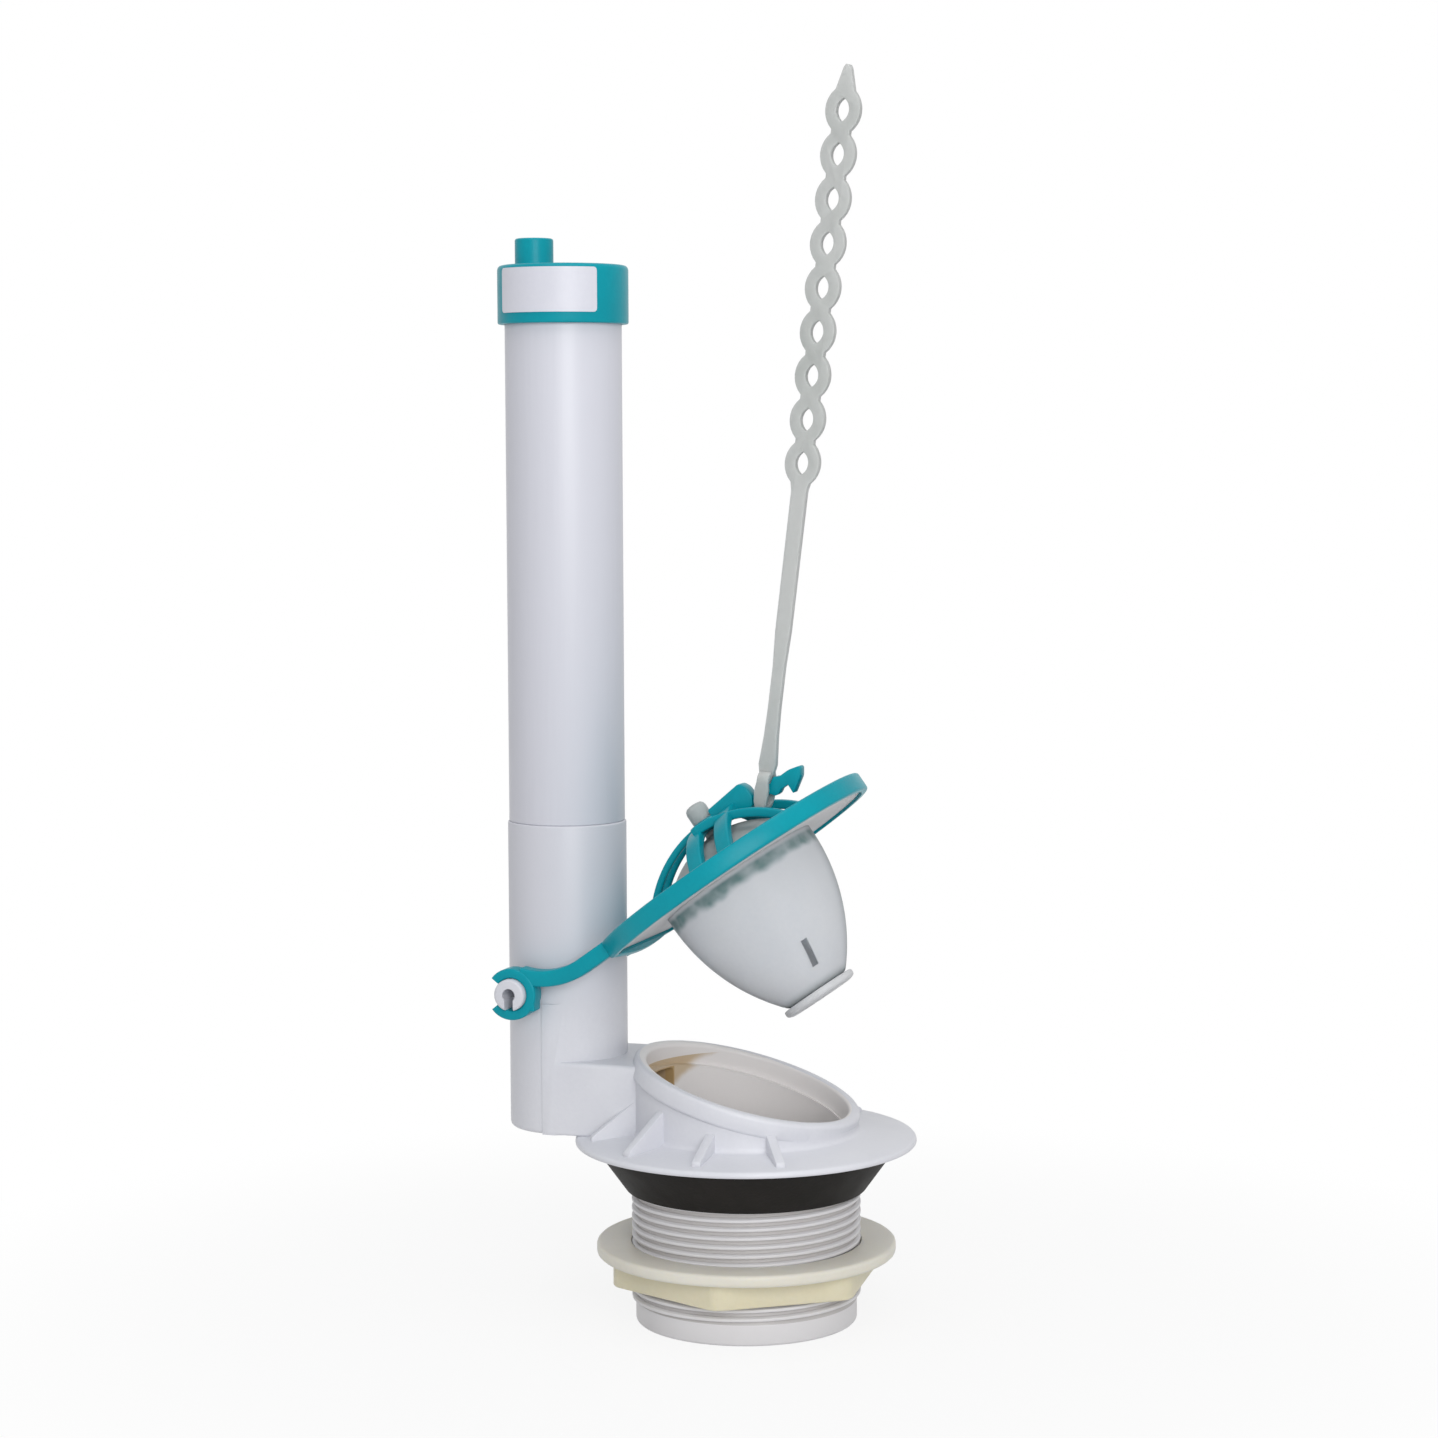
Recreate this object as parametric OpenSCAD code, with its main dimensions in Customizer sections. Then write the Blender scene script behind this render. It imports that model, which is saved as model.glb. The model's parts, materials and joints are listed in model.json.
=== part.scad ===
// Toilet flush valve with a side overflow tube, a hinged flapper that carries
// an air float, and a moulded pull strap. The origin is on the axis of the
// threaded shank at its lower end, +Z is up and the overflow tube stands at -X.

/* [Shank] */
// Diameter over the thread crests
thread_d = 59.6; // [58:0.1:64]
// Distance from one thread crest to the next
thread_pitch = 2.309; // [1.8:0.001:3]
// Height of a thread ridge above its root
thread_depth = 1.2; // [0.8:0.1:1.6]
// Width of a thread ridge at its foot
thread_foot = 1.15; // [0.8:0.05:1.6]
// Width of a thread crest
thread_crest = 0.35; // [0.2:0.05:0.6]
// Diameter of the plain lower end of the shank
pilot_d = 57.6; // [55:0.1:58]
// Length of the plain lower end
pilot_len = 5.5; // [3:0.5:8]
// Bore of the shank
shank_bore = 50.8; // [46:0.1:52]
// Height from the lower end of the shank to the flange
shank_len = 46.6; // [44:0.2:70]

/* [Flange and seat] */
// Diameter of the flange
flange_d = 88.6; // [84:0.2:100]
// Thickness of the flange at the wall of the seat
flange_t = 3.2; // [2.4:0.1:5]
// Thickness of the flange at its edge
flange_edge = 1.6; // [1:0.1:2.4]
// Slope of the seat away from the overflow tube, in degrees
seat_tilt = 15.6; // [12:0.1:18]
// Height of the middle of the seat rim above the underside of the flange
seat_rise = 15.6; // [15:0.1:20]
// Distance of the middle of the seat rim from the axis of the shank
seat_shift = 0.7; // [0:0.1:1.5]
// Inside diameter of the seat rim
seat_in_d = 54.2; // [53:0.1:56]
// Width of the seat rim
rim_w = 3.2; // [2.6:0.1:4]
// Depth of the bead under the seat rim
bead_h = 5; // [3:0.1:5.5]
// Depth of the step inside the seat
seat_step = 5.5; // [4:0.1:6]
// Thickness of the wall between the flange and the bead
seat_wall = 3.9; // [3:0.1:4.5]
// Thickness of a gusset
gusset_t = 2.4; // [1.6:0.1:4]
// How far a gusset runs out along the flange
gusset_run = 11.6; // [6:0.1:13]
// Height of the gussets near the overflow tube
gusset_tall = 8.8; // [6:0.1:11]
// Height of the other gussets
gusset_low = 4.6; // [3:0.1:6]
// Height of the outer end of a gusset
gusset_toe = 1; // [0.6:0.1:2]

/* [Standpipe and arm] */
// Distance from the axis of the shank to the axis of the overflow tube
tube_x = 49; // [48:0.1:56]
// Outside diameter of the standpipe
stand_d = 31; // [28:0.1:32]
// Height of the arm between the standpipe and the seat
arm_h = 17.7; // [15:0.1:18.5]
// Thickness of the floor of the arm
arm_floor = 3; // [2:0.1:4]
// Width of the water way in the arm
duct_w = 20; // [14:0.1:22]
// Height of the water way in the arm
duct_h = 10; // [7:0.1:10.5]
// Height of the pipe joint above the underside of the flange
joint_rise = 82.4; // [65:0.1:120]
// Length of the spigot inside the overflow tube
spigot_len = 18; // [10:0.5:30]
// Wall of the spigot
spigot_wall = 1.2; // [0.8:0.1:2]
// Width of the stiffening rib on each side of the standpipe
rib_w = 3.2; // [2:0.1:5]
// How far the rib stands out
rib_proud = 0.35; // [0.2:0.05:0.4]
// Height of the top of the rib above the underside of the flange
rib_rise = 36; // [24:0.5:60]

/* [Overflow tube] */
// Outside diameter of the overflow tube
tube_d = 30.3; // [30:0.1:33]
// Wall of the overflow tube
tube_wall = 2; // [1.4:0.1:2.6]
// Visible length of the overflow tube above the pipe joint
tube_len = 142; // [80:1:240]

/* [Refill cap] */
// Wall of the cap
cap_wall = 1.7; // [1:0.1:2.4]
// Height of the cap
cap_h = 15.1; // [12:0.1:24]
// Thickness of the top of the cap
cap_top_t = 2; // [1.4:0.1:3]
// Rounding of the upper edge of the cap
cap_round = 1.2; // [0.5:0.1:1.6]
// Diameter of the opening in the top of the cap
cap_open_d = 25.4; // [23:0.1:26]
// Outside diameter of the refill nipple
nipple_d = 10; // [8:0.1:11]
// Bore of the refill nipple
nipple_bore = 6.4; // [4.5:0.1:6.5]
// Height of the refill nipple
nipple_h = 7.1; // [5:0.1:14]
// Distance of the nipple from the axis of the cap
nipple_shift = 7.9; // [7:0.1:9]
// Spare width of the bridge on each side of the nipple
bridge_edge = 1; // [0.5:0.1:2]
// Height of the bare label
label_h = 11.4; // [6:0.1:11.5]
// Thickness of the bare label
label_t = 0.3; // [0.2:0.05:0.6]
// Arc of the label around the cap, in degrees
label_arc = 94; // [60:1:150]
// Direction of the middle of the label around the cap, in degrees
label_turn = -86; // [-180:1:180]
// Height of the cap band below the label
label_lift = 2.7; // [1:0.1:2.8]

/* [Gasket] */
// Height of the tank gasket
gasket_h = 12; // [6:0.1:14]
// Width of the gasket under the flange
gasket_top_w = 9; // [4:0.1:11]
// Width of the gasket at its lower end
gasket_low_w = 1.2; // [0.8:0.1:3]

/* [Washer and locknut] */
// Diameter of the friction washer
washer_d = 77.8; // [74:0.2:90]
// Thickness of the friction washer
washer_t = 3.2; // [2:0.1:5]
// Chamfer on the edges of the friction washer
washer_chamfer = 0.6; // [0.3:0.1:0.9]
// Width of the locknut across its flats
nut_flats = 63; // [62.5:0.1:70]
// Height of the locknut
nut_h = 6.8; // [6:0.1:10]
// Height of the underside of the locknut above the end of the shank
nut_rise = 10.8; // [6:0.1:12]
// Chamfer on the corners of the locknut
nut_chamfer = 1.2; // [0.5:0.1:2]
// Direction of one corner of the locknut, in degrees
nut_corner = 35; // [0:1:60]

/* [Hinge] */
// Height of the hinge axis above the underside of the flange
pivot_rise = 39; // [38:0.1:44]
// Distance of the hinge axis behind the axis of the standpipe
pivot_back = 7.9; // [6:0.1:9]
// Diameter of the hinge pins
pin_d = 8.3; // [6:0.1:10]
// Bore in the end of a hinge pin
pin_bore = 3.5; // [2:0.1:4]
// Depth of that bore
pin_bore_depth = 7; // [3:0.5:7]
// Width of the slot under that bore
pin_slot = 2.4; // [1:0.1:3]
// How far a pin stands out of its ear
pin_proud = 1.5; // [0.5:0.1:3]
// Width of an ear and of its arm
ear_w = 5; // [3.5:0.1:7]
// Wall of an ear around its pin
ear_wall = 2.5; // [2:0.1:4]
// Mouth of the ear as a share of the pin's diameter
ear_mouth = 0.74; // [0.5:0.01:0.85]
// How far the flapper stands open, in degrees from closed
open_angle = 51.2; // [40:0.1:51.5]

/* [Flapper frame] */
// Diameter of the flapper ring
ring_d = 80; // [78:0.1:84]
// How far the middle of the flapper lies beyond the middle of the seat
flapper_shift = 1.1; // [0:0.1:1.5]
// Thickness of the lip around the seal
lip_t = 2; // [1.4:0.1:3]
// How far the lip reaches below the seat rim when closed
lip_drop = 0.5; // [0:0.1:1]
// Length of the curved ridge under the straight edge of the ring
ridge_len = 36; // [24:1:38]
// Depth of that ridge below the lip
ridge_drop = 1.2; // [0.6:0.1:1.6]
// Thickness of the plate above the seal
plate_t = 2; // [1.4:0.1:3]
// How far an arm runs in over the ring
arm_root = 12; // [6:0.1:14]
// Thickness of an arm
arm_t = 4.2; // [3:0.1:4.4]
// Length of the bend in an arm
arm_bend = 16; // [12:0.1:17]
// Radius of the arched legs
leg_r = 28.6; // [27:0.1:30]
// Height of the top of the arched legs above the seat rim
leg_rise = 17.6; // [16.5:0.1:19]
// Radius of the arched legs on the hinge side
hinge_leg_r = 32.7; // [30:0.1:36]
// Height of the top of those legs above the seat rim
hinge_leg_rise = 16; // [15.5:0.1:17]
// Depth of an arched leg
leg_t = 2.4; // [1.6:0.1:3]
// Width of an arched leg
leg_w = 2.4; // [1.6:0.1:3]
// Distance between the two legs on the hinge side
hinge_legs = 6.8; // [5:0.1:9]
// Distance between the two legs on the strap side
strap_legs = 18; // [12:0.1:22]
// Distance of the legs at the sides from the hub axis
side_leg_x = 5.5; // [4:0.1:9]
// Width of the legs at the sides
side_leg_w = 5.4; // [3:0.1:7]
// Radius of the hub
hub_r = 4.4; // [3.6:0.1:6]
// Height of the top of the hub above the top of the legs
hub_rise = 0.6; // [0.2:0.1:2]
// Length of the beam from the hub axis to its outer end
beam_len = 13.5; // [11:0.1:13.8]
// Chamfer at the outer end of the beam
beam_chamfer = 1; // [0.5:0.1:1.6]
// Width of the beam
beam_w = 5; // [3.6:0.1:7]
// Height of the beam above the top of the legs
beam_rise = 2; // [1:0.1:4]
// Distance of the strap from the hub axis
hook_x = 18.1; // [18:0.1:24]
// Height of the hook above the seat rim
hook_rise = 13.1; // [12:0.1:14]
// Thickness of the hook
hook_t = 2.2; // [1.6:0.1:2.6]
// Width of the hook
hook_w = 3.6; // [2.4:0.1:4]
// Length of the hook beyond the strap
hook_len = 11.8; // [8:0.1:14]
// Height of the raised tip of the hook
hook_tip = 0.5; // [0.2:0.1:1]
// Depth of the barb under the hook
barb_drop = 3.7; // [2:0.1:5]
// Width of the tab beside each ear
tab_w = 3.3; // [2:0.1:4]
// Length of the tab beside each ear
tab_len = 5.4; // [4.8:0.1:8]

/* [Seal and float] */
// Thickness of the seal
seal_t = 2.3; // [1.6:0.1:3]
// Gap between the closed seal and the seat rim
seal_gap = 0.2; // [0.1:0.05:0.4]
// Diameter of the mouth of the float
float_d = 43.8; // [42:0.1:48.4]
// Depth of the float below the seat rim
float_h = 36.2; // [26:0.1:37]
// Radius of the bulging side of the float
float_bulge = 52; // [50:0.5:70]
// Depth of the widest place of the float below its mouth
bulge_drop = 1.7; // [0:0.1:4]
// Wall of the float
float_wall = 1.4; // [1:0.1:2]
// Width of the bleed slot in the float
bleed_w = 1.8; // [1:0.1:2.6]
// Length of the bleed slot
bleed_len = 6; // [4:0.1:9]
// Height of the bleed slot above the bottom of the float
bleed_rise = 4.9; // [3:0.1:10]
// Direction of the bleed slot around the float, in degrees
bleed_angle = -68; // [-180:1:180]
// How far the collar of the frame reaches into the float
collar_drop = 3.2; // [2:0.1:5]
// Thickness of the collar
collar_t = 1.4; // [1:0.1:2]
// Width of the gaps between the teeth of the collar
tooth_gap = 2.8; // [1.5:0.1:4]
// Number of teeth on the collar
collar_teeth = 12; // [6:1:16]
// Height of the air dome above the seat rim
dome_rise = 12; // [9:0.1:12.5]
// Wall of the air dome
dome_wall = 1.2; // [0.8:0.1:2]
// Radius of the stud on the air dome
stud_r = 1.9; // [1.4:0.1:2.6]
// Radius of the head of that stud
head_r = 2.7; // [2.4:0.1:3.4]
// Height of that head
head_h = 5; // [3.6:0.1:7]

/* [Bleed dial] */
// Diameter of the dial under the float
dial_d = 20.6; // [16:0.1:21]
// Thickness of the dial
dial_t = 2.6; // [1.6:0.1:4]
// Radius of the spindle of the dial
spindle_r = 2; // [1.4:0.1:2.6]
// Height and width of the rim that holds the spindle in the float
spindle_rim = 1; // [0.6:0.1:2]

/* [Pull strap] */
// Lean of the strap away from the overflow tube, in degrees
strap_lean = 7; // [5:0.1:10]
// Thickness of the strap
strap_t = 2.4; // [1.6:0.1:3]
// Width of the stem of the strap
stem_w = 3.9; // [3:0.1:4.6]
// Width of the stem at its lower end
stem_foot_w = 4.8; // [4.6:0.1:5]
// Length of that wider lower end
stem_foot_len = 9; // [5:0.5:20]
// Distance from the hook to the first eyelet
eyelet_start = 85.1; // [60:0.1:120]
// Number of eyelets
eyelet_count = 9; // [3:1:14]
// Distance from one eyelet to the next
eyelet_pitch = 11.1; // [10:0.1:12]
// Width of an eyelet
eyelet_w = 9; // [8:0.1:11]
// Length of an eyelet
eyelet_len = 13; // [12.4:0.1:15]
// Width of the strap between two eyelets
neck_w = 5.4; // [4:0.1:6]
// Width of the hole in an eyelet
eye_w = 3.4; // [2:0.1:3.8]
// Length of the hole in an eyelet
eye_len = 6; // [4:0.1:7]
// Length of the pointed tip beyond the last eyelet
tip_len = 11.3; // [8:0.1:20]
// Width of the blunt end of the tip
tip_w = 2; // [1:0.1:3]
// Thickness of the loop around the hook
loop_t = 2.2; // [1.6:0.1:2.4]
// Width of the bands of the loop
loop_band = 1.7; // [1.2:0.1:2.4]

/* [Fits] */
// Running clearance of the ears on the hinge pins
hinge_fit = 0.08; // [0.02:0.01:0.1]
// Clearance between the standpipe and the ears
ear_gap = 0.75; // [0.7:0.05:1.2]
// Clearance between the open or closed ring and the standpipe
chord_gap = 1.5; // [0.8:0.1:2.4]
// Clearance of the cap on the tube
cap_fit = 0.1; // [0.05:0.01:0.2]
// Glue gap of the pipe joint
glue_gap = 0.1; // [0.05:0.01:0.2]
// Clearance of the locknut and washer over the thread crests
nut_fit = 0.1; // [0.05:0.01:0.2]
// Clearance of the gasket over the thread crests
gasket_fit = 0.12; // [0.05:0.01:0.3]
// Clearance between pieces of the flapper that fit in each other
snap_fit = 0.15; // [0.05:0.01:0.2]
// Clearance of the turning dial
dial_fit = 0.08; // [0.02:0.01:0.1]
// Gap between flat faces that turn on each other
face_gap = 0.05; // [0.02:0.01:0.1]
// Room between the hook and the loop of the strap
loop_fit = 0.5; // [0.3:0.05:0.6]

/* [Hidden] */
$fn = 96;
// Extra length of a cut that leaves through a face
over = 1;
// How deep a rib or a boss is rooted in the piece that carries it
root = 1;
// Directions of the gussets, on each side of the outward direction
gusset_angles = [60, 90, 120, 150];
// Sides of the locknut
nut_sides = 6;

thread_r = thread_d / 2;
bore_r = shank_bore / 2;
flange_r = flange_d / 2;
flange_top = shank_len + flange_t;
rim_z = shank_len + seat_rise;
rim_r = seat_in_d / 2 + rim_w;
wall_r = bore_r + seat_wall;
stand_r = stand_d / 2;
tube_r = tube_d / 2;
spigot_r = tube_r - tube_wall - glue_gap;
stand_bore_r = spigot_r - spigot_wall;
joint_z = shank_len + joint_rise;
tube_top = joint_z + tube_len;
duct_z = flange_top + arm_floor;

cap_in_r = tube_r + cap_fit;
cap_r = cap_in_r + cap_wall;
cap_z = tube_top + face_gap + cap_top_t;

pivot_x = -tube_x - pivot_back;
pivot_z = shank_len + pivot_rise;
pin_r = pin_d / 2;
ear_in = stand_r + ear_gap;
ear_out = ear_in + ear_w;
pin_end = ear_out + pin_proud;
ear_bore_r = pin_r + hinge_fit;
ear_r = ear_bore_r + ear_wall;

// The hinge axis as seen from the middle of the closed flapper, along and across its slope
pivot_u = (pivot_x - seat_shift) * cos(seat_tilt) - (pivot_z - rim_z) * sin(seat_tilt) - flapper_shift;
pivot_s = (pivot_x - seat_shift) * sin(seat_tilt) + (pivot_z - rim_z) * cos(seat_tilt);
open_slope = open_angle - seat_tilt;

ring_r = ring_d / 2;
plate_s = seal_gap + seal_t;
ring_top = plate_s + plate_t;
// Reach of the standpipe's front into the flapper, closed and open
front = pivot_back + stand_r;
front_closed = (front + (pivot_s + lip_drop) * sin(seat_tilt)) / cos(seat_tilt);
front_open = (front - (pivot_s - ring_top) * sin(open_slope)) / cos(open_slope);
chord_u = pivot_u + max(front_closed, front_open) + chord_gap;

// Bend of an arm: it starts level at bend_u and ends in the ear, in this direction from the pin
ear_join = 30;
ear_mid_r = (ear_bore_r + ear_r) / 2;
arm_s = ring_top - arm_t / 2;
bend_rise = pivot_s + ear_mid_r * sin(ear_join) - arm_s;
bend_r = (arm_bend * arm_bend + bend_rise * bend_rise) / (2 * bend_rise);
bend_u = pivot_u + ear_mid_r * cos(ear_join) + arm_bend;
bend_angle = atan2(arm_bend, bend_r - bend_rise);

hub_top = leg_rise + hub_rise;
beam_top = leg_rise + beam_rise;
hub_bore_r = stud_r + snap_fit;

// The side of the float is an arc, in this many steps
float_steps = 14;
bulge_r = float_d / 2 - sqrt(float_bulge * float_bulge - bulge_drop * bulge_drop);
function float_r(s) = bulge_r + sqrt(float_bulge * float_bulge - (bulge_drop + s) * (bulge_drop + s));
collar_r = float_r(-collar_drop) - float_wall - snap_fit;
collar_in_r = collar_r - collar_t;
dome_r = collar_in_r - snap_fit;
dome_base = ring_top - plate_t / 2;

// Strap: the loop clears the hook at every lean between closed and open
strap_slope = 90 - strap_lean - open_slope;
strap_slack = 90 - strap_slope;
loop_hole_w = hook_w + 2 * loop_fit;
loop_half = (hook_t + loop_band * cos(strap_slack) + loop_t * sin(strap_slack)) / 2;
loop_low = (loop_half + loop_fit / 2) / cos(strap_slack);
loop_top = (hook_t / 2 + loop_t / 2 * sin(strap_slack) + loop_fit) / cos(strap_slack);
stem_low = (hook_t / 2 + stem_foot_w / 2 * sin(strap_slack) + loop_fit) / cos(strap_slack);

// Places a child from the middle of the seat rim, square to the seat
module at_seat() {
    translate([seat_shift, 0, rim_z]) rotate([0, seat_tilt, 0]) children();
}

// Places a child of the flapper, turned open about the hinge pins
module at_flapper() {
    translate([pivot_x, 0, pivot_z]) rotate([0, -open_angle, 0])
        translate([-pivot_x, 0, -pivot_z]) at_seat() translate([flapper_shift, 0, 0]) children();
}

// Extrudes a side view, drawn as (outward, up), across the part from y0 to y1
module across(y0, y1) {
    translate([0, y1, 0]) rotate([90, 0, 0]) linear_extrude(y1 - y0) children();
}

// A ring cut from a plate
module tube_piece(r_out, r_in, z0, z1) {
    difference() {
        translate([0, 0, z0]) cylinder(r = r_out, h = z1 - z0);
        translate([0, 0, z0 - over]) cylinder(r = r_in, h = z1 - z0 + 2 * over);
    }
}

// Threaded shank with its plain lower end, solid
module shank() {
    root_r = thread_r - thread_depth;
    turns = floor((shank_len - pilot_len) / thread_pitch);
    ridge = [[root_r, -thread_foot / 2], [thread_r, -thread_crest / 2],
        [thread_r, thread_crest / 2], [root_r, thread_foot / 2]];
    cylinder(r = pilot_d / 2, h = pilot_len);
    rotate_extrude() polygon(concat(
        [[0, pilot_len], [root_r, pilot_len]],
        [for (i = [0 : turns - 1], p = ridge) [p[0], pilot_len + (i + 0.5) * thread_pitch + p[1]]],
        [[root_r, shank_len + over], [0, shank_len + over]]));
}

// Flange that gets thinner towards its edge
module flange() {
    translate([0, 0, shank_len]) rotate_extrude() polygon([
        [0, 0], [flange_r, 0], [flange_r, flange_edge], [wall_r, flange_t], [0, flange_t]]);
}

// Wall of the seat up to its sloping bead, solid
module seat() {
    reach = 2 * flange_r;
    intersection() {
        translate([0, 0, shank_len + over]) cylinder(r = wall_r, h = 2 * seat_rise);
        at_seat() translate([0, 0, -bead_h / 2 - reach]) cylinder(r = reach, h = reach);
    }
    at_seat() translate([0, 0, -bead_h]) cylinder(r = rim_r, h = bead_h);
}

// Gussets between the flange and the wall of the seat
module gussets() {
    toe_fall = (flange_t - flange_edge) * gusset_run / (flange_r - wall_r);
    for (side = [-1, 1], a = gusset_angles) {
        rise = a > 90 ? gusset_tall : gusset_low;
        rotate([0, 0, side * a]) translate([wall_r, 0, flange_top]) across(-gusset_t / 2, gusset_t / 2)
            polygon([[-root, -root], [gusset_run, -root - toe_fall], [gusset_run, gusset_toe - toe_fall],
                [0, rise], [-root, rise]]);
    }
}

// Lower standpipe with its spigot, arm and side ribs, solid
module standpipe() {
    foot = shank_len + flange_edge;
    arm_y = stand_r + rib_proud;
    translate([-tube_x, 0, foot]) cylinder(r = stand_r, h = joint_z - foot);
    translate([-tube_x, 0, joint_z - over]) cylinder(r = spigot_r, h = spigot_len + over);
    translate([-tube_x, -arm_y, foot]) cube([tube_x - bore_r, 2 * arm_y, flange_top + arm_h - foot]);
    translate([-tube_x - rib_w / 2, -arm_y, foot])
        cube([rib_w, 2 * arm_y, shank_len + rib_rise - foot]);
}

// Pair of hinge pins, one on each side of the standpipe
module hinge_pins() {
    translate([pivot_x, 0, pivot_z]) across(-pin_end, pin_end) circle(pin_r);
}

// Hollow end and slot of each hinge pin
module pin_ends() {
    for (side = [-1, 1]) {
        tip = side * (pin_end + over);
        base = side * (pin_end - pin_bore_depth);
        translate([pivot_x, 0, pivot_z]) across(min(tip, base), max(tip, base)) {
            circle(pin_bore / 2);
            translate([-pin_slot / 2, -2 * pin_r]) square([pin_slot, 2 * pin_r]);
        }
    }
}

module valve_body() {
    color("whitesmoke") difference() {
        union() {
            shank();
            flange();
            seat();
            gussets();
            standpipe();
            hinge_pins();
        }
        translate([0, 0, -over]) cylinder(r = bore_r, h = rim_z + rim_r);
        at_seat() translate([0, 0, -seat_step]) cylinder(r = seat_in_d / 2, h = seat_step + rim_r);
        translate([-tube_x, 0, duct_z]) cylinder(r = stand_bore_r, h = tube_top - duct_z);
        translate([-tube_x, -duct_w / 2, duct_z]) cube([tube_x, duct_w, duct_h]);
        pin_ends();
    }
}

module overflow_tube() {
    color("white") translate([-tube_x, 0, 0]) tube_piece(tube_r, tube_r - tube_wall, joint_z, tube_top);
}

module tank_gasket() {
    in_r = thread_r + gasket_fit;
    color("#2a2624") translate([0, 0, shank_len - gasket_h]) rotate_extrude() polygon([
        [in_r, 0], [in_r + gasket_low_w, 0], [in_r + gasket_top_w, gasket_h - gasket_low_w],
        [in_r + gasket_top_w, gasket_h], [in_r, gasket_h]]);
}

module friction_washer() {
    washer_r = washer_d / 2;
    flat_r = washer_r - washer_chamfer;
    in_r = thread_r + nut_fit;
    color("#e4dfcc") translate([0, 0, nut_rise + nut_h + face_gap]) rotate_extrude() polygon([
        [in_r, 0], [flat_r, 0], [washer_r, washer_chamfer], [washer_r, washer_t - washer_chamfer],
        [flat_r, washer_t], [in_r, washer_t]]);
}

module locknut() {
    corner_r = nut_flats / 2 / cos(180 / nut_sides);
    color("#ddd6b4") translate([0, 0, nut_rise]) difference() {
        intersection() {
            rotate([0, 0, nut_corner]) cylinder(r = corner_r, h = nut_h, $fn = nut_sides);
            rotate_extrude() polygon([[0, 0], [corner_r - nut_chamfer, 0], [corner_r, nut_chamfer],
                [corner_r, nut_h], [0, nut_h]]);
        }
        translate([0, 0, -over]) cylinder(r = thread_r + nut_fit, h = nut_h + 2 * over);
    }
}

// Open part of the top of the cap, beside the bridge
module cap_opening() {
    bridge_w = nipple_d + 2 * bridge_edge;
    difference() {
        translate([0, 0, cap_z - cap_h]) cylinder(r = cap_open_d / 2, h = cap_h + over);
        translate([-nipple_shift - bridge_w / 2, -cap_r, cap_z - cap_top_t])
            cube([bridge_w, 2 * cap_r, cap_top_t + over]);
    }
}

module refill_cap() {
    color("#1298a6") translate([-tube_x, 0, 0]) difference() {
        union() {
            translate([0, 0, cap_z - cap_h]) rotate_extrude() polygon([[0, 0], [cap_r, 0],
                for (a = [0 : 15 : 90]) [cap_r - cap_round * (1 - cos(a)), cap_h - cap_round * (1 - sin(a))],
                [0, cap_h]]);
            translate([-nipple_shift, 0, cap_z - over]) cylinder(r = nipple_d / 2, h = nipple_h + over);
        }
        translate([0, 0, cap_z - cap_h - over]) cylinder(r = cap_in_r, h = cap_h + over - cap_top_t);
        cap_opening();
        translate([-nipple_shift, 0, cap_z - cap_h])
            cylinder(r = nipple_bore / 2, h = cap_h + nipple_h + over);
    }
}

module cap_label() {
    in_r = cap_r + face_gap;
    color("#e9e9ee") translate([-tube_x, 0, cap_z - cap_h + label_lift])
        rotate([0, 0, label_turn - label_arc / 2]) rotate_extrude(angle = label_arc)
            translate([in_r, 0]) square([label_t, label_h]);
}

// Everything beyond the straight edge of the ring on the hinge side, moved in by edge
module beyond_chord(edge, s0, s1) {
    translate([chord_u + edge - ring_d, -ring_d, s0]) cube([ring_d, 2 * ring_d, s1 - s0]);
}

// Curved ridge under the straight edge of the ring
module chord_ridge() {
    steps = 6;
    shares = [for (i = [-steps : steps]) i / steps];
    translate([chord_u, 0, -lip_drop]) rotate([90, 0, 90]) linear_extrude(lip_t) polygon(concat(
        [for (p = shares) [p * ridge_len / 2, ridge_drop * (p * p - 1)]],
        [[ridge_len / 2, root], [-ridge_len / 2, root]]));
}

// Ring with its lip and the pocket for the seal
module flapper_ring() {
    difference() {
        translate([0, 0, -lip_drop]) cylinder(r = ring_r, h = ring_top + lip_drop);
        beyond_chord(0, -lip_drop - over, ring_top + over);
        seal_pocket(0, -lip_drop - over, plate_s);
        translate([0, 0, -lip_drop - over]) cylinder(r = collar_in_r, h = ring_top + lip_drop + 2 * over);
    }
}

// Room inside the lip, less a clearance
module seal_pocket(gap, s0, s1) {
    difference() {
        translate([0, 0, s0]) cylinder(r = ring_r - lip_t - gap, h = s1 - s0);
        beyond_chord(lip_t + gap, s0 - over, s1 + over);
    }
}

// Toothed collar that reaches through the seal into the float
module collar() {
    difference() {
        tube_piece(collar_r, collar_in_r, -collar_drop, plate_s + plate_t / 2);
        for (i = [0 : collar_teeth - 1]) rotate([0, 0, i * 360 / collar_teeth])
            translate([0, -tooth_gap / 2, -collar_drop - over])
                cube([2 * collar_r, tooth_gap, collar_drop + over]);
    }
}

// Side view of an arm: a level bar and a bend up to the ear
module arm_outline() {
    translate([bend_u, arm_s - arm_t / 2]) square([arm_root - ring_r - bend_u, arm_t]);
    translate([bend_u, arm_s + bend_r]) intersection() {
        difference() {
            circle(bend_r + arm_t / 2);
            circle(bend_r - arm_t / 2);
        }
        polygon([[0, 0], for (a = [0, bend_angle / 2, bend_angle]) -2 * bend_r * [sin(a), cos(a)]]);
    }
}

// Side view of a hooked ear and its tab, about the hinge axis
module ear_outline() {
    circle(ear_r);
    rotate(-open_slope) translate([pin_r - root, -ear_bore_r]) square([tab_w, tab_len]);
}

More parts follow.
